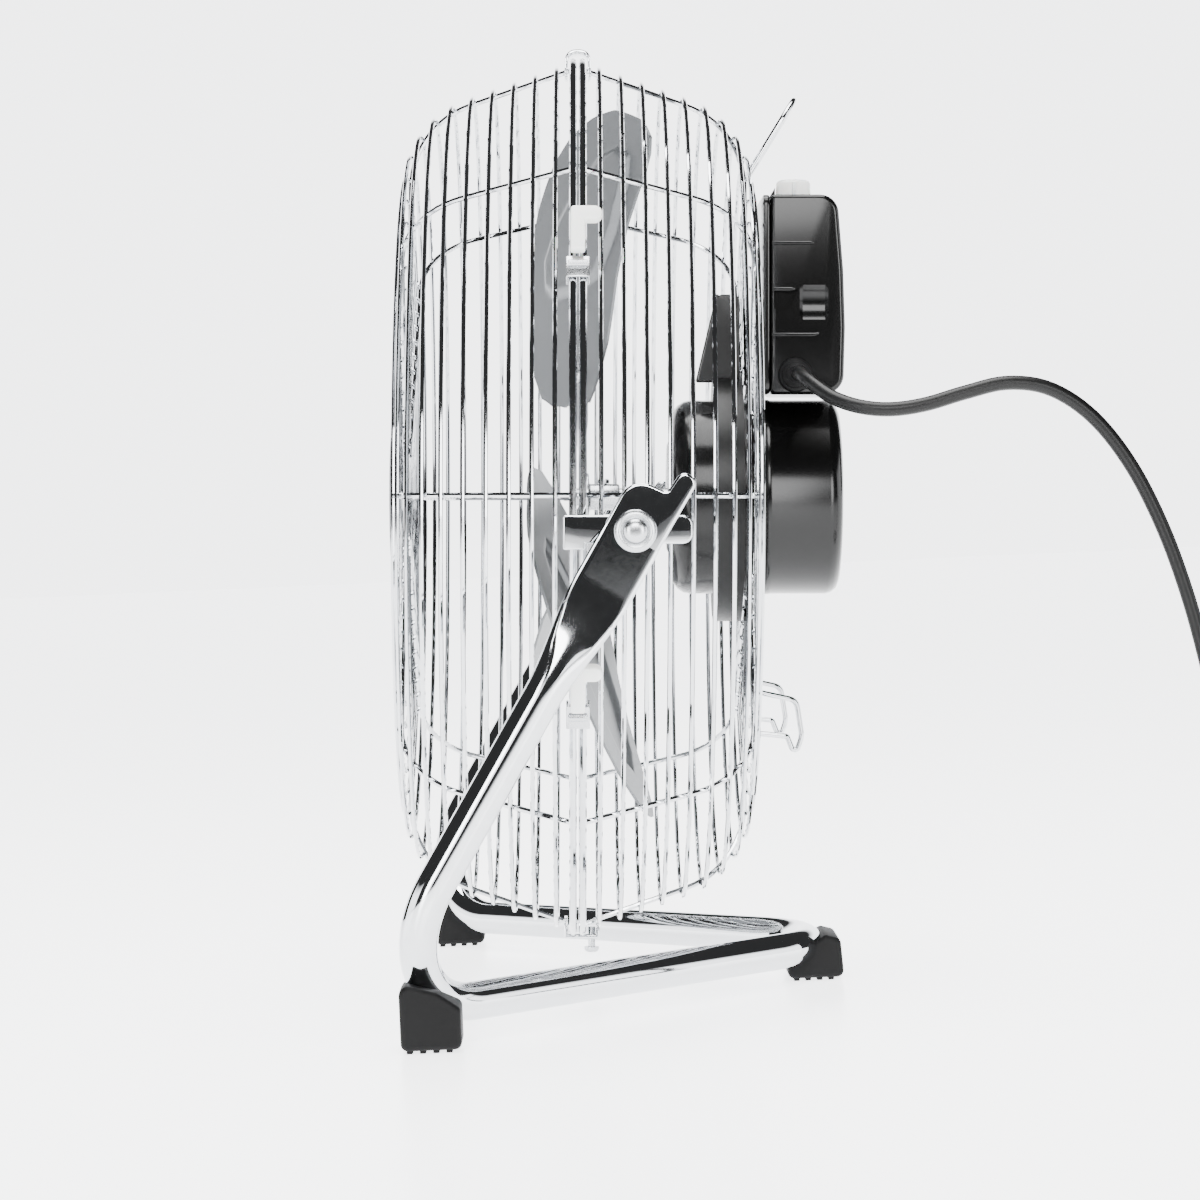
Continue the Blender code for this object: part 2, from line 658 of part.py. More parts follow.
def make_motor(head, black, steel, lamination, copper):
    wall = 0.0022
    inner = MOTOR_R - wall
    housing = [
        (0.0116, MOTOR_FRONT + 0.0065), (0.0116, MOTOR_FRONT + wall + 0.0092),
        (0.0140, MOTOR_FRONT + wall + 0.0092), (0.0140, MOTOR_FRONT + wall + 0.0030),
        (inner - 0.006, MOTOR_FRONT + wall + 0.0030), (inner, MOTOR_FRONT + 0.0105),
        (inner, MOTOR_SPLIT - FIT), (MOTOR_R, MOTOR_SPLIT - FIT),
        (MOTOR_R, MOTOR_FRONT + 0.009), (MOTOR_R - 0.0025, MOTOR_FRONT + 0.0040),
        (MOTOR_R - 0.008, MOTOR_FRONT + 0.0012), (0.0150, MOTOR_FRONT),
        (0.0055, MOTOR_FRONT), (0.0055, MOTOR_FRONT + 0.0065),
    ]
    piece("motor_front_housing", turned(housing, 24), black, head)
    cover = [
        (inner, MOTOR_SPLIT), (inner, MOTOR_REAR - 0.0060), (inner - 0.004, MOTOR_REAR - 0.0040),
        (0.0140, MOTOR_REAR - 0.0030), (0.0140, MOTOR_REAR - 0.0090),
        (0.0116, MOTOR_REAR - 0.0090), (0.0116, MOTOR_REAR - 0.0022), (0.0, MOTOR_REAR - 0.0022),
        (0.0, MOTOR_REAR), (0.030, MOTOR_REAR - 0.0006), (MOTOR_R - 0.004, MOTOR_REAR - 0.0022),
        (MOTOR_R - 0.0008, MOTOR_REAR - 0.0040), (MOTOR_R, MOTOR_REAR - 0.0070),
        (MOTOR_R, MOTOR_SPLIT),
    ]
    piece("motor_rear_cover", turned(list(reversed(cover)), 24), black, head)
    bearing_f = MOTOR_FRONT + 0.0070
    bearing_r = MOTOR_REAR - 0.0088
    for name, y in (("front_bearing", bearing_f), ("rear_bearing", bearing_r)):
        ring = [(SHAFT_R + FIT, y), (0.0113, y), (0.0113, y + 0.0055), (SHAFT_R + FIT, y + 0.0055)]
        piece(name, turned(ring, 20), steel, head)
    stack = [(0.0252, 0.0700), (0.0400, 0.0700), (0.0400, 0.0950), (0.0252, 0.0950)]
    piece("stator", turned(stack, 24), lamination, head)
    for name, low, high in (("front_winding", 0.0620, 0.0697), ("rear_winding", 0.0953, 0.1030)):
        coil = [
            (0.0270, low), (0.0370, low), (0.0385, low + 0.002), (0.0385, high),
            (0.0260, high), (0.0260, low + 0.002),
        ]
        piece(name, turned(coil, 20), copper, head)


def make_spinning(axis, steel, metal, lamination):
    shaft = [
        (0.0, -0.0030), (0.0036, -0.0030), (SHAFT_R, -0.0024), (SHAFT_R, MOTOR_REAR - 0.0032),
        (0.0, MOTOR_REAR - 0.0032),
    ]
    piece("shaft", turned(shaft, 16), steel, axis)
    rotor = [(SHAFT_R + FIT, 0.0700), (0.0248, 0.0700), (0.0248, 0.0950), (SHAFT_R + FIT, 0.0950)]
    piece("rotor", turned(rotor, 20), lamination, axis)
    hub = [
        (SHAFT_R + FIT, 0.0036), (0.0110, 0.0036), (0.0110, 0.0050), (0.0060, 0.0054),
        (0.0060, 0.0180), (0.0055, 0.0192), (SHAFT_R + FIT, 0.0192),
    ]
    hub_piece = piece("hub", turned(hub, 20), steel, axis)
    screw_y = 0.0118
    hole = turned([(0, SHAFT_R), (0.0018, SHAFT_R), (0.0018, 0.012), (0, 0.012)], 10, "Z")
    drill = piece("set_screw_tool", hole, steel, axis, place=(0.0, screw_y, 0.0))
    combine(hub_piece, drill, "DIFFERENCE")
    screw = [
        (0.0, SHAFT_R + FIT), (0.0015, SHAFT_R + FIT), (0.0015, 0.0063), (0.0026, 0.0063),
        (0.0026, 0.0080), (0.0, 0.0084),
    ]
    piece("set_screw", turned(screw, 12, "Z"), steel, axis, place=(0.0, screw_y, 0.0))
    centre = [(SHAFT_R + FIT, 0.0012), (0.0150, 0.0012), (0.0150, 0.0033), (SHAFT_R + FIT, 0.0033)]
    spider = piece("blade_spider", turned(centre, 24), steel, axis)
    for i in range(BLADES):
        angle = 2 * pi * i / BLADES
        turn = Matrix.Rotation(angle, 3, "Y")
        arm = blade_arm()
        bmesh.ops.rotate(arm, verts=arm.verts, matrix=turn)
        combine(spider, piece("arm_tool", arm, steel, axis), "UNION")
        sheet = blade_sheet()
        bmesh.ops.rotate(sheet, verts=sheet.verts, matrix=turn)
        blade = piece(f"blade_{i + 1}", sheet, metal, axis)
        place, lean = rivet_place()
        for target in (blade, spider):
            hole = turned([(0, -0.006), (0.0023, -0.006), (0.0023, 0.006), (0, 0.006)], 10)
            bmesh.ops.transform(hole, matrix=(turn.to_4x4() @ place @ lean), verts=hole.verts)
            combine(target, piece("blade_hole_tool", hole, steel, axis), "DIFFERENCE")
        rivet = turned(blade_rivet(), 12)
        bmesh.ops.transform(rivet, matrix=(turn.to_4x4() @ place @ lean), verts=rivet.verts)
        piece(f"blade_rivet_{i + 1}", rivet, steel, axis)


def blade_rivet():
    """A rivet through blade and arm, about the blade's normal."""
    low = -BLADE_T / 2 - FIT
    high = BLADE_T / 2 + 2 * FIT + 0.0015
    return [
        (0.0, low - 0.0014), (0.0025, low - 0.0012), (0.0040, low - 0.0004), (0.0040, low),
        (0.0020, low), (0.0020, high), (0.0038, high), (0.0034, high + 0.0008),
        (0.0, high + 0.0011),
    ]


def rivet_place():
    reach = 0.056
    lean = Matrix.Rotation(atan2(BLADE_RISE, 1.0), 4, "Z")
    return Matrix.Translation((0.0, 0.0, reach)), lean


def blade_sheet():
    """One blade as a thin sheet: rows at constant radius, swept to the lead."""
    rows = [
        (0.0440, -20.0, 12.0), (0.0500, -33.0, 16.0), (0.0600, -40.0, 19.5),
        (0.0750, -39.5, 21.5), (0.0900, -34.0, 21.0), (0.1050, -28.5, 20.3),
        (0.1280, -22.6, 21.0), (0.1420, -17.0, 22.5), (0.1560, -10.0, 24.0),
        (0.1660, -3.0, 24.4), (0.1730, 4.5, 23.6), (FAN_R, 11.5, 20.5),
    ]
    columns = 6
    grid = []
    for radius, trail, lead in rows:
        line = []
        for j in range(columns + 1):
            angle = radians(trail + (lead - trail) * j / columns)
            x, z = radius * sin(angle), radius * cos(angle)
            line.append(Vector((x, x * BLADE_RISE, z)))
        grid.append(line)
    return thick_grid(grid, BLADE_T, Vector((-BLADE_RISE, 1.0, 0.0)).normalized())


def blade_arm():
    """A spider arm that twists from flat at the centre to the blade's pitch."""
    lift = BLADE_T / 2 + FIT + 0.00075
    normal = Vector((-BLADE_RISE, 1.0, 0.0)).normalized()
    grid = []
    for reach, twist in ((0.010, 0.0), (0.016, 0.0), (0.026, 0.5), (0.036, 1.0), (0.062, 1.0)):
        line = []
        for x in (-ARM_HALF, 0.0, ARM_HALF):
            raised = Vector((0.0, 0.00225, 0.0)).lerp(normal * lift, twist)
            line.append(Vector((x, x * BLADE_RISE * twist, reach)) + raised)
        grid.append(line)
    return thick_grid(grid, 0.0015, normal)


def thick_grid(grid, thick, normal):
    """A solid sheet with a grid of points as its middle."""
    bm = bmesh.new()
    half = normal * (thick / 2)
    top = [[bm.verts.new(p + half) for p in line] for line in grid]
    low = [[bm.verts.new(p - half) for p in line] for line in grid]
    rows, columns = len(grid), len(grid[0])
    for i in range(rows - 1):
        for j in range(columns - 1):
            for side in (top, low):
                bm.faces.new((side[i][j], side[i][j + 1], side[i + 1][j + 1], side[i + 1][j]))
    rim = [(0, j) for j in range(columns)] + [(i, columns - 1) for i in range(1, rows)]
    rim += [(rows - 1, j) for j in range(columns - 2, -1, -1)]
    rim += [(i, 0) for i in range(rows - 2, 0, -1)]
    for (a, b), (c, d) in zip(rim, rim[1:] + rim[:1]):
        bm.faces.new((top[a][b], top[c][d], low[c][d], low[a][b]))
    bmesh.ops.recalc_face_normals(bm, faces=bm.faces)
    return bm


# ---------------------------------------------------------------- control box

def box_outline(inset):
    """The box's side outline, as (y, z) points, drawn in by an inset."""
    rear = BOX_REAR - inset
    return rounded([
        (BOX_FRONT + 0.0032, BOX_BOTTOM + inset, 0.0),
        (rear - 0.0008, BOX_BOTTOM + inset, 0.0070 - inset),
        (rear, BOX_BOTTOM + 0.030, 0.0),
        (rear - 0.0008, BOX_TOP - 0.034, 0.0),
        (rear - 0.0035, BOX_TOP - inset, 0.0070 - inset),
        (BOX_FRONT + 0.0032, BOX_TOP - inset, 0.0),
    ])


def make_control_box(head, black, grey, white, amber):
    cover = extruded(box_outline(0.0), -BOX_HALF, BOX_HALF)
    cover = piece("control_box_cover", cover, black, head)
    hollow = box_outline(WALL)
    hollow[0] = (BOX_FRONT - 0.002, BOX_BOTTOM + WALL)
    hollow[-1] = (BOX_FRONT - 0.002, BOX_TOP - WALL)
    room = extruded(hollow, -BOX_HALF + WALL, BOX_HALF - WALL)
    combine(cover, piece("hollow_tool", room, black, head), "DIFFERENCE")
    stem_hole = turned(
        [(0, BOX_TOP - 0.006), (0.0036, BOX_TOP - 0.006), (0.0036, BOX_TOP + 0.01),
         (0, BOX_TOP + 0.01)], 16, "Z")
    drill = piece("stem_tool", stem_hole, black, head, place=(0.0, KNOB_Y, 0.0))
    combine(cover, drill, "DIFFERENCE")
    wall_hole = turned(
        [(0, BOX_HALF - 0.006), (0.0056, BOX_HALF - 0.006), (0.0056, BOX_HALF + 0.01),
         (0, BOX_HALF + 0.01)], 16, "X")
    drill = piece("gland_tool", wall_hole, black, head, place=(0.0, GLAND_Y, GLAND_Z))
    combine(cover, drill, "DIFFERENCE")
    base = rounded([
        (-BOX_HALF, BOX_BOTTOM, 0.004), (BOX_HALF, BOX_BOTTOM, 0.004),
        (BOX_HALF, BOX_TOP, 0.004), (-BOX_HALF, BOX_TOP, 0.004),
    ])
    base = extruded(base, BOX_FRONT, BOX_FRONT + 0.0029, "XZ")
    piece("control_box_base", base, black, head)
    deck = BOX_TOP - WALL - FIT
    switch = block((-0.013, KNOB_Y - 0.010, deck - 0.016), (0.013, KNOB_Y + 0.010, deck), 0.001)
    switch = piece("speed_switch", switch, grey, head)
    bore = turned([(0, deck - 0.012), (0.0033, deck - 0.012), (0.0033, deck + 0.01),
                   (0, deck + 0.01)], 16, "Z")
    combine(switch, piece("bore_tool", bore, grey, head, place=(0.0, KNOB_Y, 0.0)), "DIFFERENCE")
    capacitor = block((-0.020, 0.0880, 0.0800), (0.012, 0.1020, 0.1000), 0.001)
    piece("capacitor", capacitor, amber, head)
    knob_axis = empty("knob_axis", (0.0, KNOB_Y, 0.0), head)
    top = BOX_TOP + 0.0006
    knob = [
        (0.0, deck - 0.0110), (0.0030, deck - 0.0110), (0.0030, top), (0.0078, top),
        (0.0078, top + 0.0062), (0.0070, top + 0.0078), (0.0, top + 0.0082),
    ]
    piece("speed_knob", turned(knob, 20, "Z"), white, knob_axis)
    gland = [
        (0.0, BOX_HALF - 0.0055), (0.0051, BOX_HALF - 0.0055), (0.0051, BOX_HALF + FIT),
        (0.0080, BOX_HALF + FIT), (0.0078, BOX_HALF + 0.0030), (0.0060, BOX_HALF + 0.0042),
        (0.0052, BOX_HALF + 0.0050), (0.0041, BOX_HALF + 0.0230), (0.0, BOX_HALF + 0.0230),
    ]
    piece("cord_gland", turned(gland, 16, "X"), black, head, place=(0.0, GLAND_Y, GLAND_Z))


# ---------------------------------------------------------------- the cord

def cord_route():
    """Hand-set points from the gland, out to the rear and down to the ground."""
    return [Vector(p) for p in (
        (0.0557, 0.0809, 0.2743), (0.0655, 0.0817, 0.2733), (0.0748, 0.0852, 0.2694),
        (0.0845, 0.0938, 0.2621), (0.0908, 0.1055, 0.2573), (0.0930, 0.1189, 0.2556),
        (0.0927, 0.1340, 0.2572), (0.0908, 0.1510, 0.2615), (0.0888, 0.1700, 0.2650),
        (0.0872, 0.1890, 0.2615), (0.0865, 0.2070, 0.2485), (0.0868, 0.2225, 0.2270),
        (0.0875, 0.2350, 0.1995), (0.0888, 0.2445, 0.1690), (0.0900, 0.2515, 0.1370),
        (0.0915, 0.2570, 0.1030), (0.0930, 0.2603, 0.0740), (0.0944, 0.2620, 0.0510),
        (0.0957, 0.2628, 0.0325), (0.0972, 0.2665, 0.0180), (0.0988, 0.2766, 0.0076),
    )]


def make_cord(black, brass):
    route = cord_route()
    landing = COIL_CENTRE + Vector((-TURN_R, -0.0234, CORD_R + 0.0002))
    route += [landing]
    points = even_points(smooth_curve(route, 10), 0.0100)
    rod("cord", points, CORD_R, black, resolution=2)
    ring = [
        (COIL_IN, 0.0003), (COIL_OUT, 0.0003), (COIL_OUT, COIL_TOP - 0.003),
        (COIL_OUT - 0.003, COIL_TOP), (COIL_IN + 0.003, COIL_TOP), (COIL_IN, COIL_TOP - 0.003),
    ]
    piece("cord_coil", turned(ring, 24, "Z"), black, place=COIL_CENTRE)
    start = COIL_CENTRE + Vector((-TURN_R, 0.0450, 0.0))
    body = rounded([
        (-0.0046, 0.0, 0.0), (0.0046, 0.0, 0.0), (0.0055, 0.012, 0.0), (0.0130, 0.020, 0.0),
        (0.0130, 0.040, 0.002), (-0.0130, 0.040, 0.002), (-0.0130, 0.020, 0.0),
        (-0.0055, 0.012, 0.0),
    ])
    body = extruded(body, 0.0002, 0.0135, "XY")
    plug = piece("plug_body", body, black, place=start)
    for i, side in enumerate((-1, 1)):
        pin = [
            (0.0, 0.034), (0.0020, 0.034), (0.0020, 0.0575), (0.0012, 0.0590), (0.0, 0.0590),
        ]
        spot = start + Vector((side * 0.0093, 0.0, 0.0069))
        hole = turned([(0, 0.0336), (0.0023, 0.0336), (0.0023, 0.06), (0, 0.06)], 12)
        combine(plug, piece("pin_tool", hole, brass, place=spot), "DIFFERENCE")
        piece(f"plug_pin_{i + 1}", turned(pin, 12), brass, place=spot)


def main():
    clear_scene()
    chrome = finish("chrome_wire", (0.72, 0.73, 0.74), 0.12, 1.0)
    steel = finish("plated_steel", (0.60, 0.61, 0.62), 0.30, 1.0)
    metal = finish("blade_metal", (0.33, 0.34, 0.35), 0.35, 0.9)
    black = finish("black_plastic", (0.012, 0.012, 0.013), 0.32, 0.0)
    black_steel = finish("black_steel", (0.02, 0.02, 0.02), 0.45, 0.3)
    rubber = finish("black_rubber", (0.012, 0.012, 0.012), 0.75, 0.0)
    white = finish("white_plastic", (0.80, 0.80, 0.78), 0.40, 0.0)
    grey = finish("grey_plastic", (0.30, 0.31, 0.32), 0.40, 0.0)
    lamination = finish("core_steel", (0.28, 0.28, 0.29), 0.50, 0.8)
    copper = finish("winding_copper", (0.55, 0.25, 0.12), 0.40, 0.9)
    amber = finish("capacitor_case", (0.75, 0.72, 0.62), 0.45, 0.0)
    brass = finish("plug_brass", (0.75, 0.65, 0.40), 0.30, 1.0)

    path = make_stand(chrome)
    make_feet(path, rubber)
    make_pivots(steel, grey)
    tilt = empty("head_tilt_axis", PIVOT, turn=(-REST_TILT, 0.0, 0.0))
    head = empty("guard_centre", (0.0, GUARD_BEHIND, GUARD_ABOVE), tilt)
    make_guard(head, chrome, white, steel, grey)
    make_head_frame(head, chrome, black_steel)
    make_motor(head, black, steel, lamination, copper)
    make_spinning(empty("fan_axis", (0.0, 0.0, 0.0), head), steel, metal, lamination)
    make_control_box(head, black, grey, white, amber)
    make_cord(black, brass)


main()
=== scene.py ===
# %% [markdown]
# # A desk fan with a wire guard on a bent tube stand
# This lesson dresses a imported CAD model of a desk fan. The CAD solids say where each
# piece is and how it moves; here each one gets the shape and the finish that the eye
# expects. We load the frame first. The looks may not outgrow it.

from math import acos, atan2, cos, pi, radians, sin, sqrt, tan

import bmesh
import bpy
from mathutils import Matrix, Vector


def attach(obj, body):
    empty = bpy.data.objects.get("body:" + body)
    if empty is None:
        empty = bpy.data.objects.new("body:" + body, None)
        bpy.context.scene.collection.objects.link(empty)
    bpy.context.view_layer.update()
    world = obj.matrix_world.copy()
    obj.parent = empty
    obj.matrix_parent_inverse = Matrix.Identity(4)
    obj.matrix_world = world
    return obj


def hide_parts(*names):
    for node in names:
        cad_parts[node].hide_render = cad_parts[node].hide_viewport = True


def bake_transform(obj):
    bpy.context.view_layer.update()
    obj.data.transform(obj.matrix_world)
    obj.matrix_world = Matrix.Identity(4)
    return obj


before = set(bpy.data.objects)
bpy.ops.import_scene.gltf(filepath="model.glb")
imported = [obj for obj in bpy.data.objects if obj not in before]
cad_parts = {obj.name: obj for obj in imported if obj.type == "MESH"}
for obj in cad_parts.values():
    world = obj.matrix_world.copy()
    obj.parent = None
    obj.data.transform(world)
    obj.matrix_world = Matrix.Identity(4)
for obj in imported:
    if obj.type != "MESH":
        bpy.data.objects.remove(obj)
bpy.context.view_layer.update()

# %% [markdown]
# ## Where the head sits
# The head leans back a little on its two pivots. Everything on it is easiest to draw
# about the middle of the guard, with Y along the fan's axis, so one matrix carries
# head drawings to their place. The same numbers drive the CAD.

# %% The head's own axes
PIVOT = Vector((0.0, 0.0033, 0.2082))
REST_TILT = radians(2.5)
# The pivot's Y and Z, as drawn from the middle of the guard.
HUB = (0.0233, -0.01455)
HEAD = (
    Matrix.Translation(PIVOT) @ Matrix.Rotation(-REST_TILT, 4, "X")
    @ Matrix.Translation((0.0, -HUB[0], -HUB[1]))
)
GUARD_R, FAN_R = 0.200, 0.1775
SIDES = ((1, "right"), (-1, "left"))
print("guard centre:", [round(c, 4) for c in HEAD.translation])

# %% [markdown]
# ## Camera
# We stand at the fan's right side, level with the guard, with a long lens, so that
# near and far wires keep nearly the same size. The camera rolls by the head's own
# lean, which makes the guard stand upright in the picture and the stand look turned.

# %% Place the camera
def placed(name, data):
    """A new object in the scene that holds the given data."""
    obj = bpy.data.objects.new(name, data)
    bpy.context.collection.objects.link(obj)
    return obj


camera_data = bpy.data.cameras.new("side_camera")
camera_data.lens = 117.7
camera_data.shift_x = 0.020
camera_data.shift_y = -0.0733
camera = placed("side_camera", camera_data)
roll_cos, roll_sin = cos(REST_TILT), sin(REST_TILT)
camera.matrix_world = Matrix((
    (0.0, 0.0, 1.0, 1.8),
    (roll_cos, roll_sin, 0.0, -0.02045),
    (-roll_sin, roll_cos, 0.0, 0.2169),
    (0.0, 0.0, 0.0, 1.0),
))
bpy.context.scene.camera = camera
print("camera at", [round(c, 3) for c in camera.location])

# %% [markdown]
# ## Small helpers for materials
# A finish is a Principled shader with a few nodes before it. One function adds a
# node, sets it and links it. Colours are written as sRGB hex, as a paint chart gives
# them, and turned to the linear values that the shader wants.

# %% Material helpers
def linear(code):
    """An sRGB hex colour as the linear RGBA that shader sockets take."""
    parts = [int(code[i:i + 2], 16) / 255 for i in (1, 3, 5)]
    return (*[c / 12.92 if c <= 0.04045 else ((c + 0.055) / 1.055) ** 2.4 for c in parts], 1.0)


def add(mat, kind, settings=(), values=(), links=()):
    """Add a node: its own settings, its sockets' values, and what feeds them."""
    made = mat.node_tree.nodes.new(kind)
    for name, value in dict(settings).items():
        setattr(made, name, value)
    for socket, value in dict(values).items():
        made.inputs[socket].default_value = value
    for socket, source in dict(links).items():
        mat.node_tree.links.new(source, made.inputs[socket])
    return made


def maths(mat, operation, *terms):
    """A Math node's output; each term is a number or another node's output."""
    values = {i: term for i, term in enumerate(terms) if isinstance(term, float)}
    links = {i: term for i, term in enumerate(terms) if i not in values}
    return add(mat, "ShaderNodeMath", {"operation": operation}, values, links).outputs["Value"]


def material(name, colour, roughness, metallic=0.0, **more):
    """A Principled material with constants set on its sockets."""
    mat = bpy.data.materials.new(name)
    mat.use_nodes = True
    shader = mat.node_tree.nodes["Principled BSDF"]
    shader.inputs["Base Color"].default_value = linear(colour)
    shader.inputs["Roughness"].default_value = roughness
    shader.inputs["Metallic"].default_value = metallic
    for socket, value in more.items():
        shader.inputs[socket.replace("_", " ")].default_value = value
    return mat


def grain(mat, size_mm, depth_mm, roughness, tint, stretch=(1, 1, 1)):
    """Noise of a real grain size: a bump, a roughness range and two tints."""
    coords = add(mat, "ShaderNodeTexCoord")
    mapped = add(
        mat, "ShaderNodeMapping", values={"Scale": stretch},
        links={"Vector": coords.outputs["Object"]},
    )
    noise = add(
        mat, "ShaderNodeTexNoise", values={"Scale": 1000 / size_mm, "Detail": 3.0},
        links={"Vector": mapped.outputs["Vector"]},
    )
    shader = mat.node_tree.nodes["Principled BSDF"]
    if depth_mm:
        bump = add(
            mat, "ShaderNodeBump", values={"Distance": depth_mm / 1000, "Strength": 1.0},
            links={"Height": noise.outputs["Fac"]},
        )
        mat.node_tree.links.new(bump.outputs["Normal"], shader.inputs["Normal"])
    spread = add(
        mat, "ShaderNodeMapRange", values={"To Min": roughness[0], "To Max": roughness[1]},
        links={"Value": noise.outputs["Fac"]},
    )
    mix = add(
        mat, "ShaderNodeMix", settings={"data_type": "RGBA"},
        values={6: linear(tint[0]), 7: linear(tint[1])}, links={0: noise.outputs["Fac"]},
    )
    mat.node_tree.links.new(spread.outputs["Result"], shader.inputs["Roughness"])
    mat.node_tree.links.new(mix.outputs[2], shader.inputs["Base Color"])


# %% [markdown]
# ## The finishes
# Bright nickel-chrome plate is a mirror with the faintest orange peel from the steel
# below. Zinc plate is greyer and satin. The blades are pressed sheet with a satin
# lacquer. The black mouldings are ABS from a polished tool, the feet are rubber.

# %% Chrome plate on wire and tube
# Mirror-bright, slightly blue-grey; tiny polishing waves about 4 mm long.
CHROME = material("nickel_chrome_plate", "#D0D2D5", 0.05, 1.0)
grain(CHROME, 4.0, 0.004, (0.03, 0.08), ("#C9CBCE", "#D7D9DB"))
# Zinc plate: satin, with a fine crystalline mottle of about half a millimetre.
ZINC = material("bright_zinc_plate", "#BFC1C4", 0.26, 1.0)
grain(ZINC, 0.6, 0.004, (0.18, 0.34), ("#B0B2B5", "#CCCED0"))
# Pressed sheet under satin lacquer: mid grey, soft reflections.
BLADE_METAL = material("satin_lacquered_sheet", "#727476", 0.30, 0.85)
grain(BLADE_METAL, 1.2, 0.006, (0.28, 0.42), ("#6B6D6F", "#797B7D"))
# ABS from a polished tool: near-black gloss with a faint 0.8 mm flow mottle.
ABS = material("gloss_black_abs", "#050505", 0.13, Specular_IOR_Level=0.30)
grain(ABS, 0.8, 0.0025, (0.14, 0.22), ("#040404", "#070707"))
# Black stove enamel on the bracket: glossy with 1.5 mm orange peel.
ENAMEL = material("black_stove_enamel", "#070707", 0.30, Specular_IOR_Level=0.3)
grain(ENAMEL, 1.5, 0.015, (0.28, 0.42), ("#060606", "#0A0A0A"))
# Moulded rubber: matt, charcoal, with a dusty 0.5 mm texture.
RUBBER = material("moulded_rubber", "#080808", 0.55, Specular_IOR_Level=0.14)
grain(RUBBER, 0.5, 0.02, (0.45, 0.65), ("#060606", "#0C0C0D"))
# White acetal: bright, slightly waxy.
ACETAL = material("white_acetal", "#EDEDE9", 0.34, Subsurface_Weight=0.08)
grain(ACETAL, 0.7, 0.004, (0.28, 0.40), ("#E8E8E4", "#F2F2EE"))
# Grey nylon for the pivot spacers and the badge's rim.
NYLON = material("grey_nylon", "#8B8D8F", 0.42)
grain(NYLON, 0.6, 0.006, (0.36, 0.5), ("#848688", "#939597"))
# Soft PVC of the cord: black, semi-matt, with long faint drawing marks.
PVC = material("black_pvc_sheath", "#050505", 0.36, Specular_IOR_Level=0.25)
grain(PVC, 0.9, 0.006, (0.32, 0.46), ("#040404", "#080808"))
# Nickel-plated brass of the plug's pins: warm, bright.
PIN_METAL = material("nickel_plated_brass", "#C9BC98", 0.2, 1.0)
grain(PIN_METAL, 0.5, 0.003, (0.14, 0.28), ("#BFB28D", "#D3C8A8"))
# Stacked core laminations, 0.5 mm apart, drawn at 1 mm so that they show.
LAMINATION = material("core_laminations", "#6C6D6F", 0.5, 0.9)
grain(LAMINATION, 1.0, 0.02, (0.4, 0.6), ("#5F6062", "#797A7C"), stretch=(0.1, 1, 0.1))
# Enamelled copper wire, about 0.4 mm thick.
COPPER = material("enamelled_copper", "#A4552B", 0.35, 0.9)
grain(COPPER, 0.8, 0.03, (0.28, 0.42), ("#94481F", "#B5663A"), stretch=(1, 4, 1))
# Cream polypropylene capacitor case.
CREAM = material("cream_polypropylene", "#D9D2B8", 0.45)
grain(CREAM, 0.8, 0.01, (0.4, 0.5), ("#D2CBB0", "#DFD9C2"))
print("finishes:", len(bpy.data.materials))

# %% [markdown]
# ## Small helpers for shapes
# Nearly every piece here is turned on a lathe, cut from a sheet, or bent from wire,
# so three helpers cover them: spin an outline, extrude an outline, and run a round
# wire along points. Each returns a bmesh, and one more helper turns it to an object.

# %% Shape helpers
def spun(outline, axis, steps, closed=False, base=0.0):
    """Spin an outline of (radius, height above base) about an axis; closed makes a ring."""
    place = {
        "X": lambda r, h: (h, r, 0.0), "Y": lambda r, h: (r, h, 0.0),
        "Z": lambda r, h: (r, 0.0, h),
    }[axis]
    around = {"X": (1, 0, 0), "Y": (0, 1, 0), "Z": (0, 0, 1)}[axis]
    bm = bmesh.new()
    verts = [bm.verts.new(place(r, base + h)) for r, h in outline]
    pairs = list(zip(verts, verts[1:])) + ([(verts[-1], verts[0])] if closed else [])
    edges = [bm.edges.new(pair) for pair in pairs]
    bmesh.ops.spin(
        bm, geom=verts + edges, cent=(0, 0, 0), axis=around, angle=2 * pi, steps=steps,
        use_merge=True, use_duplicate=False,
    )
    bmesh.ops.remove_doubles(bm, verts=bm.verts, dist=1e-6)
    bmesh.ops.recalc_face_normals(bm, faces=bm.faces)
    return bm


def cut(outline, low, high, plane="YZ", ease=0.0, segments=2, origin=(0.0, 0.0)):
    """Extrude an outline, drawn from an origin, from low to high, and ease its edges."""
    place = {
        "YZ": lambda a, b, h: Vector((h, a, b)), "XZ": lambda a, b, h: Vector((a, h, b)),
        "XY": lambda a, b, h: Vector((a, b, h)),
    }[plane]
    bm = bmesh.new()
    corners = [place(a + origin[0], b + origin[1], low) for a, b in outline]
    face = bm.faces.new([bm.verts.new(corner) for corner in corners])
    grown = bmesh.ops.extrude_face_region(bm, geom=[face])["geom"]
    moved = [part for part in grown if isinstance(part, bmesh.types.BMVert)]
    bmesh.ops.translate(bm, verts=moved, vec=place(0, 0, high) - place(0, 0, low))
    bmesh.ops.recalc_face_normals(bm, faces=bm.faces)
    if ease:
        sharp = [e for e in bm.edges if e.calc_face_angle(0.0) > radians(40)]
        bmesh.ops.bevel(
            bm, geom=sharp, offset=ease, segments=segments, affect="EDGES", profile=0.5,
            material=-1, clamp_overlap=True,
        )
    return bm


def across(side, near, far):
    """The low and high X of a piece on one side, from its near and far distance."""
    return sorted((side * near, side * far))


def oblong(a0, b0, a1, b1):
    return [(a0, b0), (a1, b0), (a1, b1), (a0, b1)]


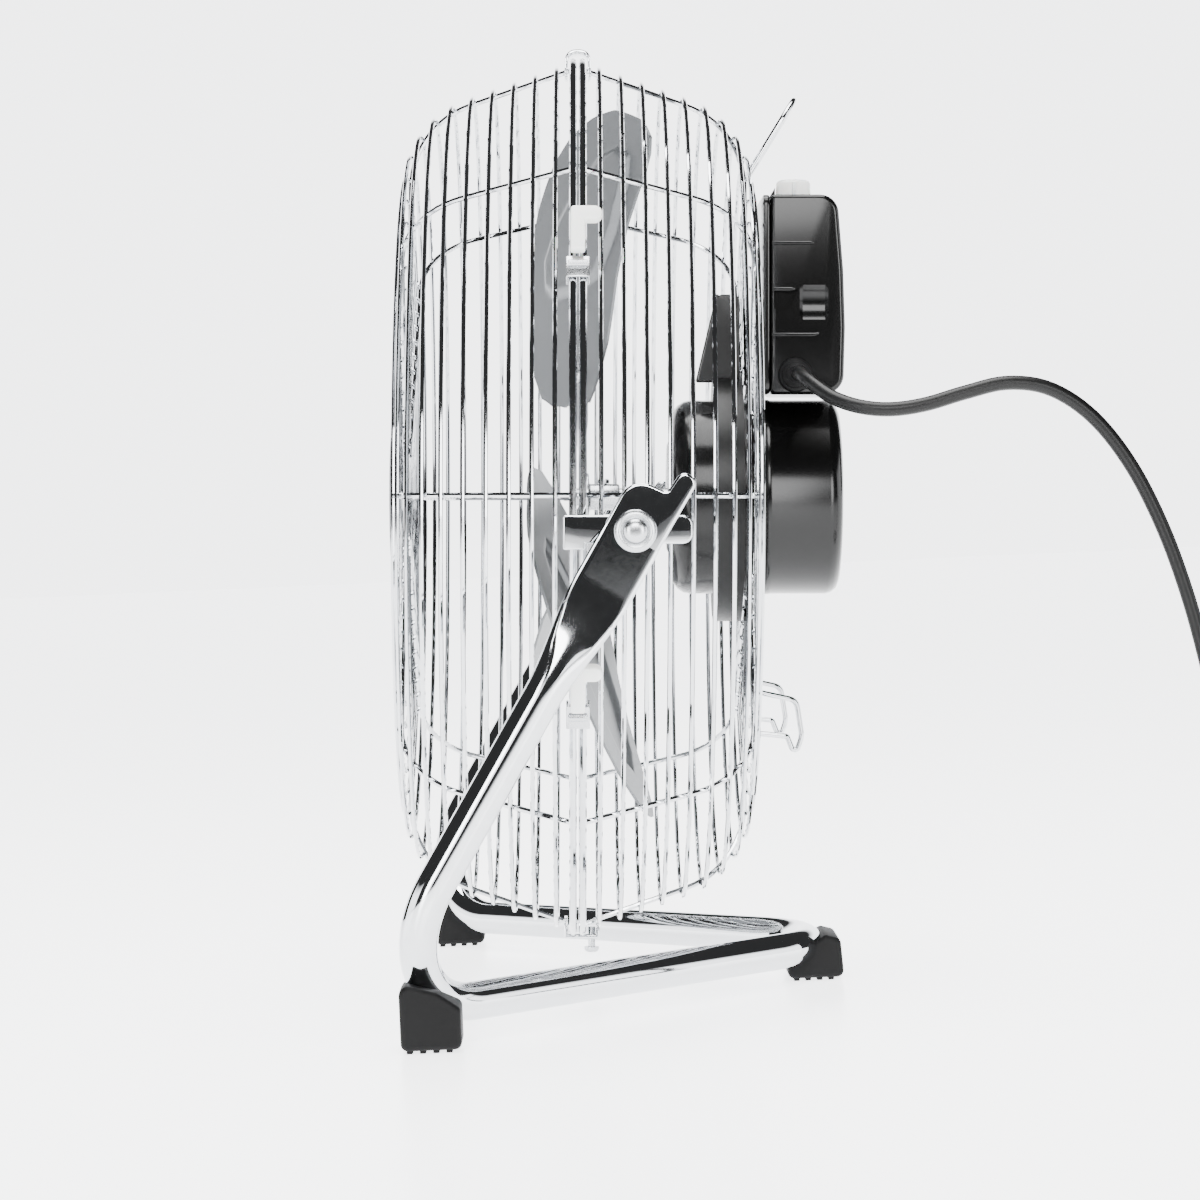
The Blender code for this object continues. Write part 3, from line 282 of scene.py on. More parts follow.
def rounded(corners, steps=5):
    """A closed outline whose corners (a, b, radius) are rounded with arcs."""
    outline = []
    for i, (a, b, radius) in enumerate(corners):
        here = Vector((a, b))
        if radius == 0.0:
            outline.append((a, b))
            continue
        back = (Vector(corners[i - 1][:2]) - here).normalized()
        ahead = (Vector(corners[(i + 1) % len(corners)][:2]) - here).normalized()
        half = acos(max(-1.0, min(1.0, back.dot(ahead)))) / 2
        centre = here + (back + ahead).normalized() * (radius / sin(half))
        start = here + back * (radius / tan(half)) - centre
        end = here + ahead * (radius / tan(half)) - centre
        sweep = atan2(start.x * end.y - start.y * end.x, start.dot(end))
        for step in range(steps + 1):
            outline.append(tuple(centre + Matrix.Rotation(sweep * step / steps, 2) @ start))
    return outline


def bent(corners, radii, step):
    """Points along a bent rod: straight runs joined by arcs of the given radii."""
    points = [corners[0]]
    for before, here, after, radius in zip(corners, corners[1:], corners[2:], radii):
        back, ahead = (before - here).normalized(), (after - here).normalized()
        half = back.angle(ahead) / 2
        centre = here + (back + ahead).normalized() * (radius / sin(half))
        start = here + back * (radius / tan(half)) - centre
        sweep = pi - 2 * half
        count = 2 * round(sweep * radius / step / 2 + 0.5)
        for i in range(count + 1):
            turn = Matrix.Rotation(sweep * i / count, 3, start.cross(-back))
            points.append(centre + turn @ start)
    points.append(corners[-1])
    return points


def evaluated(holder):
    """An object's mesh with its bevel or modifiers applied; the object goes away."""
    bpy.context.view_layer.update()
    graph = bpy.context.evaluated_depsgraph_get()
    mesh = bpy.data.meshes.new_from_object(holder.evaluated_get(graph))
    bpy.data.objects.remove(holder, do_unlink=True)
    bm = bmesh.new()
    bm.from_mesh(mesh)
    return bm


def to_mesh(bm, name):
    """A bmesh as a mesh; the bmesh is freed."""
    mesh = bpy.data.meshes.new(name)
    bm.to_mesh(mesh)
    bm.free()
    return mesh


def wire(points, radius, resolution):
    """A round wire along points, with flat ends, as a bmesh."""
    data = bpy.data.curves.new("wire", "CURVE")
    data.dimensions = "3D"
    data.bevel_depth = radius
    data.bevel_resolution = resolution
    data.use_fill_caps = True
    spline = data.splines.new("POLY")
    spline.points.add(len(points) - 1)
    for spot, point in zip(spline.points, points):
        spot.co = (*point, 1.0)
    bm = evaluated(placed("wire", data))
    bmesh.ops.remove_doubles(bm, verts=bm.verts, dist=1e-7)
    bmesh.ops.recalc_face_normals(bm, faces=bm.faces)
    return bm


def carve(body, *tools):
    """The body with the tools' shapes taken out of it."""
    holder, *cutters = [placed("carve", to_mesh(part, "carve")) for part in (body, *tools)]
    for cutter in cutters:
        step = holder.modifiers.new("carve", "BOOLEAN")
        step.operation, step.solver, step.object = "DIFFERENCE", "EXACT", cutter
    bm = evaluated(holder)
    for cutter in cutters:
        bpy.data.objects.remove(cutter, do_unlink=True)
    return bm


def join(*parts):
    """Several bmeshes as one."""
    whole = parts[0]
    for part in parts[1:]:
        whole.from_mesh(to_mesh(part, "part"))
    return whole


def show(name, bm, mat, replaced=(), body="head", matrix=HEAD, sharp=35):
    """Place a bmesh, give it its finish, and let it ride on its body."""
    bmesh.ops.transform(bm, matrix=matrix, verts=bm.verts)
    mesh = to_mesh(bm, name)
    mesh.materials.append(mat)
    mesh.shade_smooth()
    mesh.set_sharp_from_angle(angle=radians(sharp))
    obj = placed(name, mesh)
    if body:
        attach(obj, body)
    if replaced:
        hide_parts(*replaced)
    return obj


WORLD = Matrix.Identity(4)

# %% [markdown]
# ## The mains cord
# It leaves the control box at its side, droops to the rear and lands behind the fan,
# where the rest is wound into a neat coil with a tie, out of the camera's sight.
# About 1.5 m is usual for such a fan. The route is one smooth curve through a few
# points; the coil is worked out turn by turn, a diameter apart.

# %% The route of the cord
CORD_R = 0.0032
COIL = Vector((0.140, 0.314, 0.0))
OUTER, INNER = 0.0395, 0.0331
LAYERS = (0.0034, 0.0098, 0.0162)


def smooth_curve(points, per_span):
    """Points on a smooth curve through the given ones (Catmull-Rom)."""
    ends = [points[0] * 2 - points[1], *points, points[-1] * 2 - points[-2]]
    dense = []
    for p0, p1, p2, p3 in zip(ends, ends[1:], ends[2:], ends[3:]):
        for i in range(per_span):
            t = i / per_span
            dense.append(0.5 * (
                2 * p1 + (p2 - p0) * t + (2 * p0 - 5 * p1 + 4 * p2 - p3) * t ** 2
                + (3 * p1 - p0 - 3 * p2 + p3) * t ** 3
            ))
    dense.append(points[-1])
    return dense


def even_points(points, gap):
    """Points an even distance apart along a dense line, with both its ends."""
    lengths = [0.0]
    for a, b in zip(points, points[1:]):
        lengths.append(lengths[-1] + (b - a).length)
    count, even, j = round(lengths[-1] / gap), [], 0
    for i in range(count + 1):
        want = lengths[-1] * i / count
        while j < len(points) - 2 and lengths[j + 1] < want:
            j += 1
        share = (want - lengths[j]) / (lengths[j + 1] - lengths[j])
        even.append(points[j].lerp(points[j + 1], share))
    return even


def ease(t):
    """A smooth step from 0 to 1."""
    t = max(0.0, min(1.0, t))
    return t * t * (3 - 2 * t)


def coil_place(turn):
    """Radius and height after a number of turns, changed a sixth of a turn at a time."""
    moves = (
        (5 / 6, "r", INNER), (1 + 4 / 6, "z", LAYERS[1]), (2 + 3 / 6, "r", OUTER),
        (3 + 2 / 6, "z", LAYERS[2]),
    )
    radius, height = OUTER, LAYERS[0]
    for start, what, goal in moves:
        share = ease((turn - start) * 6)
        if what == "r":
            radius += (goal - radius) * share
        else:
            height += (goal - height) * share
    return radius, height


route = [Vector(p) for p in (
    (0.0557, 0.0809, 0.2743), (0.0655, 0.0817, 0.2733), (0.0748, 0.0852, 0.2694),
    (0.0845, 0.0938, 0.2621), (0.0908, 0.1055, 0.2573), (0.0930, 0.1189, 0.2556),
    (0.0927, 0.1340, 0.2572), (0.0908, 0.1510, 0.2615), (0.0888, 0.1700, 0.2650),
    (0.0872, 0.1890, 0.2615), (0.0865, 0.2070, 0.2485), (0.0868, 0.2225, 0.2270),
    (0.0875, 0.2350, 0.1995), (0.0888, 0.2445, 0.1690), (0.0900, 0.2515, 0.1370),
    (0.0915, 0.2570, 0.1030), (0.0930, 0.2603, 0.0740), (0.0944, 0.2620, 0.0510),
    (0.0957, 0.2628, 0.0325), (0.0972, 0.2665, 0.0180), (0.0988, 0.2766, 0.0076),
)]
# It meets the coil here, and hangs free above the floor up to its 18th point.
route.append(COIL + Vector((-OUTER, -0.0234, LAYERS[0])))
FREE_END, TURNS, PER_TURN = 18, 4, 18
for i in range(TURNS * PER_TURN + 1):
    radius, height = coil_place(i / PER_TURN)
    angle = pi - 2 * pi * i / PER_TURN
    route.append(COIL + Vector((radius * cos(angle), radius * sin(angle), height)))
plug_start = COIL + Vector((-OUTER, 0.045, 0.00685))
route += [
    COIL + Vector((-OUTER, 0.013, LAYERS[2] - 0.0004)),
    COIL + Vector((-OUTER, 0.024, 0.0120)), plug_start + Vector((0, -0.009, 0.0006)), plug_start,
]
dense = even_points(smooth_curve(route, 12), 0.0035)

# %% [markdown]
# The cord is made as a tube mesh.

# %% Make the cord
cord = show(
    "mains_cord", wire(dense, CORD_R, 4), PVC, ["cord", "cord_coil"], None, WORLD, 60,
)
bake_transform(cord)


# %% [markdown]
# ## The plug
# A two-pin plug moulded on to the cord: a flat body with waisted sides, a ribbed
# strain relief and two round pins with insulated collars.

# %% Plug and pins
def plug_shape():
    body = cut(rounded([
        (-0.0046, 0.002, 0.0), (0.0046, 0.002, 0.0), (0.0055, 0.012, 0.003),
        (0.0130, 0.020, 0.006), (0.0130, 0.040, 0.002), (-0.0130, 0.040, 0.002),
        (-0.0130, 0.020, 0.006), (-0.0055, 0.012, 0.003),
    ]), -0.0066, 0.0066, "XY", 0.0022, 4)
    ribs = []
    for i in range(5):
        y = -0.0080 + i * 0.0024
        radius = 0.0040 + i * 0.00018
        ribs.append(spun([
            (0.0, y), (radius, y), (radius + 0.0004, y + 0.0004), (radius + 0.0004, y + 0.0013),
            (radius, y + 0.0017), (radius - 0.0006, y + 0.0024), (0.0, y + 0.0024),
        ], "Y", 24))
    return join(body, *ribs)


plug = show(
    "plug", plug_shape(), ABS, ["plug_body"], "stand", Matrix.Translation(plug_start),
)
for number, (side, word) in enumerate(reversed(SIDES), 1):
    pin = spun([
        (0.0, 0.0395), (0.0020, 0.0395), (0.0020, 0.0570), (0.0017, 0.0583), (0.0010, 0.0589),
        (0.0, 0.0590),
    ], "Y", 20)
    show(
        f"plug_prong_{word}", pin, PIN_METAL, [f"plug_pin_{number}"], "stand",
        Matrix.Translation(plug_start + Vector((side * 0.0093, 0.0, 0.0))),
    )
tie_path = bent([Vector((r, 0.0, z)) for r, z in (
    (0.0363, 0.00045), (0.0432, 0.00045), (0.0432, 0.0136), (0.0294, 0.0136),
    (0.0294, 0.00045), (0.0363, 0.00045),
)], [0.003] * 4, 0.002)
tie = wire(tie_path, 0.0005, 2)
bmesh.ops.scale(tie, vec=(1.0, 5.0, 1.0), verts=tie.verts)
tie = show(
    "coil_tie", tie, RUBBER, body="stand",
    matrix=Matrix.Translation(COIL) @ Matrix.Rotation(pi / 2, 4, "Z"),
)
print("coil:", TURNS, "turns")

# %% [markdown]
# ## The wire guard
# The cage is two halves that meet at a pair of thick hoops. Each half is a set of
# thin rings, about 10 mm apart, laid over eight bent ribs and spot-welded. A curve
# gives the ring's depth and radius at each length along the side, round the shoulder
# and over the nearly flat face. Each ring is a circle spun about the fan's axis.

# %% The guard's profile
HOOP_WIRE, RING_WIRE, RIB_WIRE = 0.0032, 0.0020, 0.0023
HOOP_Y = 0.0021
RING_PITCH = 0.0101
CONE = radians(19.2)
SIDE_LENGTH, SHOULDER_R, FACE_DISH = 0.0530, 0.042, 0.0018


def profile(s):
    """Depth from the joint plane and radius, at a length along the guard."""
    start_r = GUARD_R - HOOP_WIRE / 2 + HOOP_Y * tan(CONE) - 0.0004
    if s <= SIDE_LENGTH:
        return s * cos(CONE), start_r - s * sin(CONE)
    depth = SIDE_LENGTH * cos(CONE) - SHOULDER_R * sin(CONE)
    radius = start_r - SIDE_LENGTH * sin(CONE) - SHOULDER_R * cos(CONE)
    bend = CONE + (s - SIDE_LENGTH) / SHOULDER_R
    if bend <= pi / 2:
        return depth + SHOULDER_R * sin(bend), radius + SHOULDER_R * cos(bend)
    run = s - SIDE_LENGTH - SHOULDER_R * (pi / 2 - CONE)
    return depth + SHOULDER_R + FACE_DISH * run / radius, radius - run


def ring(radius, depth, thick, steps=96):
    """One wire ring: a small circle spun about the fan's axis."""
    bm = bmesh.new()
    small = bmesh.ops.create_circle(bm, segments=8, radius=thick / 2)["verts"]
    bmesh.ops.translate(bm, vec=(radius, depth, 0.0), verts=small)
    bmesh.ops.spin(
        bm, geom=bm.verts[:] + bm.edges[:], cent=(0, 0, 0), axis=(0, 1, 0), angle=2 * pi,
        steps=steps, use_merge=True, use_duplicate=False,
    )
    bmesh.ops.recalc_face_normals(bm, faces=bm.faces)
    return bm


# %% Rings and ribs of both halves
def guard_half(side, last_radius):
    """One half of the cage; side is -1 for the front half and 1 for the rear."""
    parts = [ring(GUARD_R - HOOP_WIRE / 2, side * HOOP_Y, HOOP_WIRE, 128)]
    s = RING_PITCH
    while profile(s)[1] > last_radius + RING_PITCH * 0.6:
        depth, radius = profile(s)
        parts.append(ring(radius, side * depth, RING_WIRE))
        s += RING_PITCH
    last_depth = profile(s)[0]
    parts.append(ring(last_radius, side * last_depth, RING_WIRE, 64))
    inset = (RING_WIRE + RIB_WIRE) / 2 - 0.0002
    line = []
    length = 0.0014
    while profile(length)[1] > last_radius + 0.004:
        here, ahead = Vector(profile(length)), Vector(profile(length + 1e-4))
        out = Vector((-(ahead - here).y, (ahead - here).x)).normalized()
        spot = here - out * inset
        line.append(Vector((spot.y, side * spot.x, 0.0)))
        length += 0.0040
    line.append(Vector((last_radius - 0.001, side * (last_depth - inset), 0.0)))
    for i in range(8):
        rib = wire(line, RIB_WIRE / 2, 2)
        turn = Matrix.Rotation(2 * pi * i / 8, 3, "Y")
        bmesh.ops.rotate(rib, verts=rib.verts, matrix=turn)
        parts.append(rib)
    print("guard half:", len(parts) - 8, "rings and 8 ribs")
    return join(*parts)


show("front_cage", guard_half(-1, 0.0280), CHROME, ["front_guard"])
show("rear_cage", guard_half(1, 0.0520), CHROME, ["rear_guard"])

# %% [markdown]
# ## The badge
# A plain disc covers the middle of the front guard: grey nylon with a few turned
# grooves, a raised rim and no lettering.

# %% Badge on the front guard
badge = spun([
    (0.0, -0.0022), (0.010, -0.0022), (0.0106, -0.0018), (0.0112, -0.0022), (0.022, -0.0020),
    (0.0226, -0.0016), (0.0232, -0.0020), (0.0310, -0.0018), (0.0325, -0.0026),
    (0.0338, -0.0024), (0.0345, -0.0014), (0.0345, 0.0), (0.0, 0.0),
], "Y", 96, base=-0.0824)
show("badge_disc", badge, NYLON, ["front_badge"], sharp=25)

# %% [markdown]
# ## Clips round the hoops
# Four sprung clips hold the guard halves together: a folded steel saddle over both
# hoops, a pin, and a white lever shaped like a flag that folds flat against it.

# %% Clips and levers
HOOP_OUT = (GUARD_R + 0.0003, 0.0)


def saddle(length, thick, y_low, y_high, depth):
    """A strap of U section laid over both hoops, at +X, along the hoop."""
    return cut([
        (-depth, y_low), (thick, y_low), (thick, y_high), (-depth, y_high),
        (-depth, y_high - thick), (0.0, y_high - thick), (0.0, y_low + thick),
        (-depth, y_low + thick),
    ], -length / 2, length / 2, "XY", min(0.0005, thick * 0.4), origin=HOOP_OUT)


HINGE_R = 0.2040
for name, degrees in (
    ("upper_right", 29.6), ("lower_right", -25.8), ("upper_left", 150.4), ("lower_left", 205.8),
):
    angle = radians(degrees)
    s = 1 if cos(angle) > 0 else -1
    lean = Matrix.Rotation(-angle if s > 0 else pi - angle, 4, "Y")
    strap = saddle(0.0100, 0.0010, -0.0049, 0.0049, 0.0060)
    if s < 0:
        bmesh.ops.rotate(strap, verts=strap.verts, matrix=Matrix.Rotation(pi, 3, "Z"))
    bmesh.ops.translate(strap, verts=strap.verts, vec=(0.0, 0.0, -0.0052))
    barrel = spun([
        (0.0, -0.0040), (0.0012, -0.0040), (0.0015, -0.0037), (0.0015, 0.0037),
        (0.0012, 0.0040), (0.0, 0.0040),
    ], "Y", 20)
    bmesh.ops.translate(barrel, verts=barrel.verts, vec=(s * 0.2022, 0.0, -0.0043))
    show(
        f"clip_saddle_{name}", join(strap, barrel), ZINC, [f"clip_{name}"], matrix=HEAD @ lean,
    )
    hinge_spot = Vector((cos(angle), 0.0, sin(angle))) * HINGE_R
    hinge = HEAD @ Matrix.Translation(hinge_spot) @ lean
    low, high = across(s, -0.0016, 0.0030)
    lever = cut(rounded([
        (-0.0031, 0.0, 0.0012), (0.0030, 0.0, 0.0012), (0.0030, 0.0148, 0.0010),
        (0.0100, 0.0148, 0.0032), (0.0100, 0.0214, 0.0032), (-0.0031, 0.0214, 0.0016),
    ]), low, high, "YZ", 0.0007, 3)
    show(
        f"clip_flag_{name}", lever, ACETAL, [f"clip_lever_{name}"], f"clip_lever_{name}", hinge,
    )
print("clips: 4")

# %% Top hook and bottom clamp
hook = cut(rounded([
    (-0.009, -0.0060, 0.0), (0.0042, -0.0060, 0.0050), (0.0042, 0.0060, 0.0050),
    (-0.009, 0.0060, 0.0), (-0.009, 0.0046, 0.0), (0.0026, 0.0046, 0.0036),
    (0.0026, -0.0046, 0.0036), (-0.009, -0.0046, 0.0),
], 8), -0.0075, 0.0075, "XY", 0.0005, origin=HOOP_OUT)
AT_TOP, AT_BOTTOM = (HEAD @ Matrix.Rotation(turn, 4, "Y") for turn in (-pi / 2, pi / 2))
show("hoop_hook", hook, CHROME, ["top_hook"], matrix=AT_TOP)
clamp = saddle(0.0140, 0.0016, -0.0062, 0.0100, 0.0075)
show("hoop_clamp", clamp, CHROME, ["bottom_clamp"], matrix=AT_BOTTOM)
screw = spun([
    (0.0, 0.1930), (0.0016, 0.1930), (0.0016, 0.2021), (0.0034, 0.2022), (0.0034, 0.2032),
    (0.0030, 0.2040), (0.0020, 0.2046), (0.0, 0.2048),
], "X", 28)
show(
    "clamp_screw", screw, ZINC, ["bottom_clamp_screw"],
    matrix=AT_BOTTOM @ Matrix.Translation((0.0040, 0.0064, 0.0)),
)

# %% [markdown]
# ## The stand
# One length of 16 mm tube is flattened at both ends, bent down at the front corners
# and round the rear, and plated. We lay a ring of points at each station of its
# centreline, round or squashed, and bridge each ring to the next. Only the right half
# is made; the mirror operator makes the left.

# %% The stand's centreline
TUBE_R, PLATE_T, PLATE_HALF = 0.008, 0.0032, 0.0125
ARM_X, TUBE_Z = 0.210, 0.0155
FRONT_CORNER = Vector((ARM_X, -0.1167, TUBE_Z))
REAR_CORNER = Vector((0.0, 0.1001, TUBE_Z))
FLAT_END, ROUND_START = 0.027, 0.078
pivot_right = Vector((ARM_X, PIVOT.y, PIVOT.z))
arm_up = (pivot_right - FRONT_CORNER).normalized()
arm_across = Vector((0.0, arm_up.z, -arm_up.y))
arm_top = pivot_right - arm_up * 0.003
left_corner = Vector((-ARM_X, FRONT_CORNER.y, TUBE_Z))
whole = bent([arm_top, FRONT_CORNER, REAR_CORNER, left_corner], [0.042, 0.055], 0.0030)
half_line = [p for p in whole if p.x > -1e-5]
half_line[-1].x = 0.0
stops = [arm_top - arm_up * (0.0020 * i) for i in range(1, 41)]
half_line = [half_line[0], *stops, *half_line[1:]]


# %% Sweep the tube
def tube_ring(bm, centre, along, flat_dir, share):
    """One ring of points: round at share 0, a flat stadium at share 1."""
    thin_dir = along.cross(flat_dir)
    wide = TUBE_R + (PLATE_HALF - TUBE_R) * share
    thin = TUBE_R + (PLATE_T / 2 + 0.00003 - TUBE_R) * share
    made = bmesh.ops.create_circle(bm, segments=40, radius=1.0)["verts"]
    for vert in made:
        c, s = vert.co.x, vert.co.y
        c += share * (max(-1.0, min(1.0, c * 1.08)) - c)
        s += share * (max(-1.0, min(1.0, s * 1.9)) - s)
        vert.co = centre + flat_dir * wide * c + thin_dir * thin * s
    return list({edge for vert in made for edge in vert.link_edges})


def stand_tube():
    """Rings bridged along the right half of the centreline, then mirrored."""
    bm = bmesh.new()
    flat_dir = arm_across
    before = None
    last = len(half_line) - 1
    for i, centre in enumerate(half_line):
        along = (half_line[min(i + 1, last)] - half_line[max(i - 1, 0)]).normalized()
        if i == last:
            along = Vector((-1.0, 0.0, 0.0))
        flat_dir = (flat_dir - along * flat_dir.dot(along)).normalized()
        down = (pivot_right - centre).dot(arm_up)
        share = 1.0 - ease((down - FLAT_END) / (ROUND_START - FLAT_END))
        edges = tube_ring(bm, centre, along, flat_dir, share)
        if before:
            bmesh.ops.bridge_loops(bm, edges=before + edges)
        else:
            bmesh.ops.contextual_create(bm, geom=edges)
        before = edges
    geom = bm.verts[:] + bm.edges[:] + bm.faces[:]
    bmesh.ops.mirror(bm, geom=geom, merge_dist=1e-5, axis="X")
    bmesh.ops.recalc_face_normals(bm, faces=bm.faces)
    return bm


def end_plate(side):
    """The flattened tube end with its round lobe and its stop finger."""
    outline = rounded([
        (-0.0121, -0.016, 0.0), (0.0121, -0.016, 0.0),
        (0.0124, 0.0298, 0.0040), (0.0044, 0.0316, 0.0036), (0.0034, 0.0200, 0.0018),
        (-0.0125, 0.0185, 0.0095),
    ])
    spots = []
    for across, up in outline:
        spot = pivot_right + arm_across * across + arm_up * up
        spots.append((spot.y, spot.z))
    return cut(spots, side * ARM_X - 0.0016, side * ARM_X + 0.0016, "YZ", 0.0011, 4)


show(
    "bent_tube_stand", join(stand_tube(), end_plate(1), end_plate(-1)), CHROME,
    ["stand_tube"], "stand", WORLD,
)
print("tube stations:", 2 * len(half_line))

# %% [markdown]
# ## Rubber feet
# Three moulded boots grip the tube where it touches the table. Each is cut from one
# outline and eased all round; thin pads under it are the grip.

# %% Feet
def foot(corners, y, first_pad, pitch, low, high):
    """An eased block with a row of four pads under it, drawn from a tube corner's Y."""
    parts = [cut(rounded(corners), low, high, "YZ", 0.0022, 4, (y, 0.0))]
    for i in range(4):
        start = first_pad + i * pitch
        pad = oblong(start, 0.0, start + 0.0026, 0.003)
        parts.append(cut(pad, low + 0.002, high - 0.002, "YZ", 0.0004, 2, (y, 0.0)))
    return join(*parts)


for side, word in SIDES:
    boot = foot([
        (0.0157, 0.0012, 0.003), (0.0407, 0.0012, 0.003), (0.0407, 0.0180, 0.003),
        (0.0312, 0.0245, 0.003), (0.0157, 0.0290, 0.004),
    ], FRONT_CORNER.y, 0.0180, 0.0054, *across(side, 0.1835, 0.2105))
    show(f"front_boot_{word}", boot, RUBBER, [f"front_foot_{word}"], "stand", WORLD)
boot = foot([
    (-0.0336, 0.0012, 0.003), (-0.0081, 0.0012, 0.003), (-0.0091, 0.0185, 0.003),
    (-0.0161, 0.0205, 0.002), (-0.0336, 0.0085, 0.003),
], REAR_CORNER.y, -0.0310, 0.0052, -0.0225, 0.0225)
show("rear_boot", boot, RUBBER, ["rear_foot"], "stand", WORLD)

# %% [markdown]
# ## Pivots
# A shouldered rivet passes through a big washer, the flattened tube, a nylon spacer
# and the head's strap. All of them are lathe work.

# %% Rivets, washers and spacers
ARM_OUT = ARM_X + PLATE_T / 2
# Each outline is of radius and distance outward from the arm's outer face.
WASHER = [
    (0.0033, 0.0003), (0.0084, 0.0003), (0.00875, 0.0006), (0.00875, 0.0009),
    (0.0084, 0.0012), (0.0070, 0.0019), (0.0066, 0.0019), (0.0062, 0.0016), (0.0033, 0.0016),
]
RIVET = [
    (0.0, -0.0137), (0.0038, -0.0137), (0.0046, -0.0130), (0.0046, -0.0107),
    (0.0030, -0.0107), (0.0030, 0.0021), (0.0049, 0.0021), (0.0050, 0.0030),
    (0.0047, 0.0038), (0.0036, 0.0046), (0.0020, 0.0050), (0.0, 0.0051),
]
SPACER = [
    (0.0033, -0.0081), (0.0076, -0.0081), (0.0080, -0.0077), (0.0080, -0.0039),
    (0.0076, -0.0035), (0.0033, -0.0035),
]
for side, word in SIDES:
    for name, outline, mat, node_name, ringed in (
        ("pivot_disc", WASHER, ZINC, "pivot_washer", True),
        ("pivot_pin", RIVET, ZINC, "pivot_rivet", False),
        ("pivot_bush", SPACER, NYLON, "pivot_spacer", True),
    ):
        turned = spun([(r, side * (ARM_OUT + h)) for r, h in outline], "X", 64, ringed)
        show(
            f"{name}_{word}", turned, mat, [f"{node_name}_{word}"], "stand",
            Matrix.Translation(PIVOT), 50,
        )

# %% [markdown]
# ## Side straps
# The plated strap between the hoops and the pivot has a lip that grips the front
# rings and a tab that grips the rear ones.

# %% Straps
STRAP_X, STRAP_T = 0.2012, 0.0020
for side, word in SIDES:
    strap = cut(rounded([
        (-0.0294, -0.0078, 0.001), (-0.0204, -0.0078, 0.001), (-0.0204, -0.0052, 0.0),
        (0.0234, -0.0052, 0.004), (0.0234, 0.0064, 0.004), (-0.0294, 0.0064, 0.001),
    ]), *across(side, STRAP_X, STRAP_X + STRAP_T), "YZ", 0.0006, 3, HUB)
    lip, tab = (
        cut(oblong(*corners), *across(side, inner_x, STRAP_X + 0.001), "YZ", 0.0004, 2, HUB)
        for corners, inner_x in (
            ((-0.0292, -0.0070, -0.0278, 0.0056), 0.1945),
            ((0.0212, -0.0030, 0.0228, 0.0045), 0.1868),
        )
    )
    show(f"side_strap_{word}", join(strap, lip, tab), CHROME, [f"side_bracket_{word}"])

# %% [markdown]
# ## Handle and cord hooks
# Both are plated wire: the handle is a bail welded to the top of the rear guard, and
# two hooks at the bottom hold the cord when the fan is put away.

# %% Wire handle and hooks
bail = bent([Vector(p) for p in (
    (-0.036, 0.0765, 0.1448), (-0.036, 0.0978, 0.1795), (0.036, 0.0978, 0.1795),
    (0.036, 0.0765, 0.1448),
)], [0.014, 0.014], 0.002)
show("carry_bail", wire(bail, 0.0013, 4), CHROME, ["handle"])
for side, word in SIDES:
    x = side * 0.066
    loop = bent([Vector(p) for p in (
        (x, 0.0775, -0.0860), (x, 0.0965, -0.0900), (x, 0.0990, -0.1060), (x, 0.0960, -0.1150),
        (x, 0.0925, -0.1060), (x, 0.0775, -0.1045),
    )], [0.0045, 0.0080, 0.0016, 0.0016], 0.0008)
    show(f"wrap_hook_{word}", wire(loop, 0.0012, 4), CHROME, [f"cord_hook_{word}"])

# %% [markdown]
# ## Motor bracket
# An enamelled pressing clamps the motor to the rear guard; its tongue carries the
# control box and is stiffened by two folded ears.

# %% Bracket
flange = spun([
    (0.0450, 0.0620), (0.0562, 0.0620), (0.0570, 0.0626), (0.0570, 0.0745), (0.0552, 0.0745),
    (0.0552, 0.0642), (0.0548, 0.0638), (0.0450, 0.0638),
], "Y", 96, True)
tongue = cut(oblong(-0.018, 0.052, 0.018, 0.092), 0.0622, 0.0642, "XZ", 0.0006)
ears = [
    cut(rounded([
        (0.0544, 0.0530, 0.001), (0.0735, 0.0530, 0.001), (0.0735, 0.092, 0.003),
        (0.0635, 0.092, 0.003),
    ]), x, x + 0.0018, "YZ", 0.0005)
    for x in (-0.0181, 0.0163)
]
show("motor_cradle", join(flange, tongue, *ears), ENAMEL, ["motor_bracket"])

# %% [markdown]
# ## Motor shells
# Two deep-drawn cups meet at a seam. They are hollow and turned, with an eased front
# edge, a rolled seam and a slightly crowned back.

# %% Front housing and rear cover
MOTOR_R, FRONT_Y, REAR_Y = 0.0443, 0.0414, 0.1200
INNER_R = MOTOR_R - 0.0022
housing = [
    (0.0116, 0.0065), (0.0116, 0.0114), (0.0140, 0.0114), (0.0140, 0.0052),
    (INNER_R - 0.006, 0.0052), (INNER_R, 0.0105), (INNER_R, 0.0421),
    (MOTOR_R - 0.0004, 0.0421), (MOTOR_R, 0.0416), (MOTOR_R, 0.0100),
    (MOTOR_R - 0.0006, 0.0070), (MOTOR_R - 0.0022, 0.0044), (MOTOR_R - 0.0048, 0.0022),
    (MOTOR_R - 0.0080, 0.0010), (0.0260, 0.0004), (0.0240, -0.0006), (0.0150, -0.0006),
    (0.0056, 0.0), (0.0056, 0.0065),
]
shell = spun(housing, "Y", 128, True, FRONT_Y)
show("motor_front_shell", shell, ABS, ["motor_front_housing"])
inside = [
    (INNER_R, -0.0362), (INNER_R, -0.0060), (INNER_R - 0.004, -0.0040), (0.0140, -0.0030),
    (0.0140, -0.0090), (0.0116, -0.0090), (0.0116, -0.0022), (0.0, -0.0022),
]
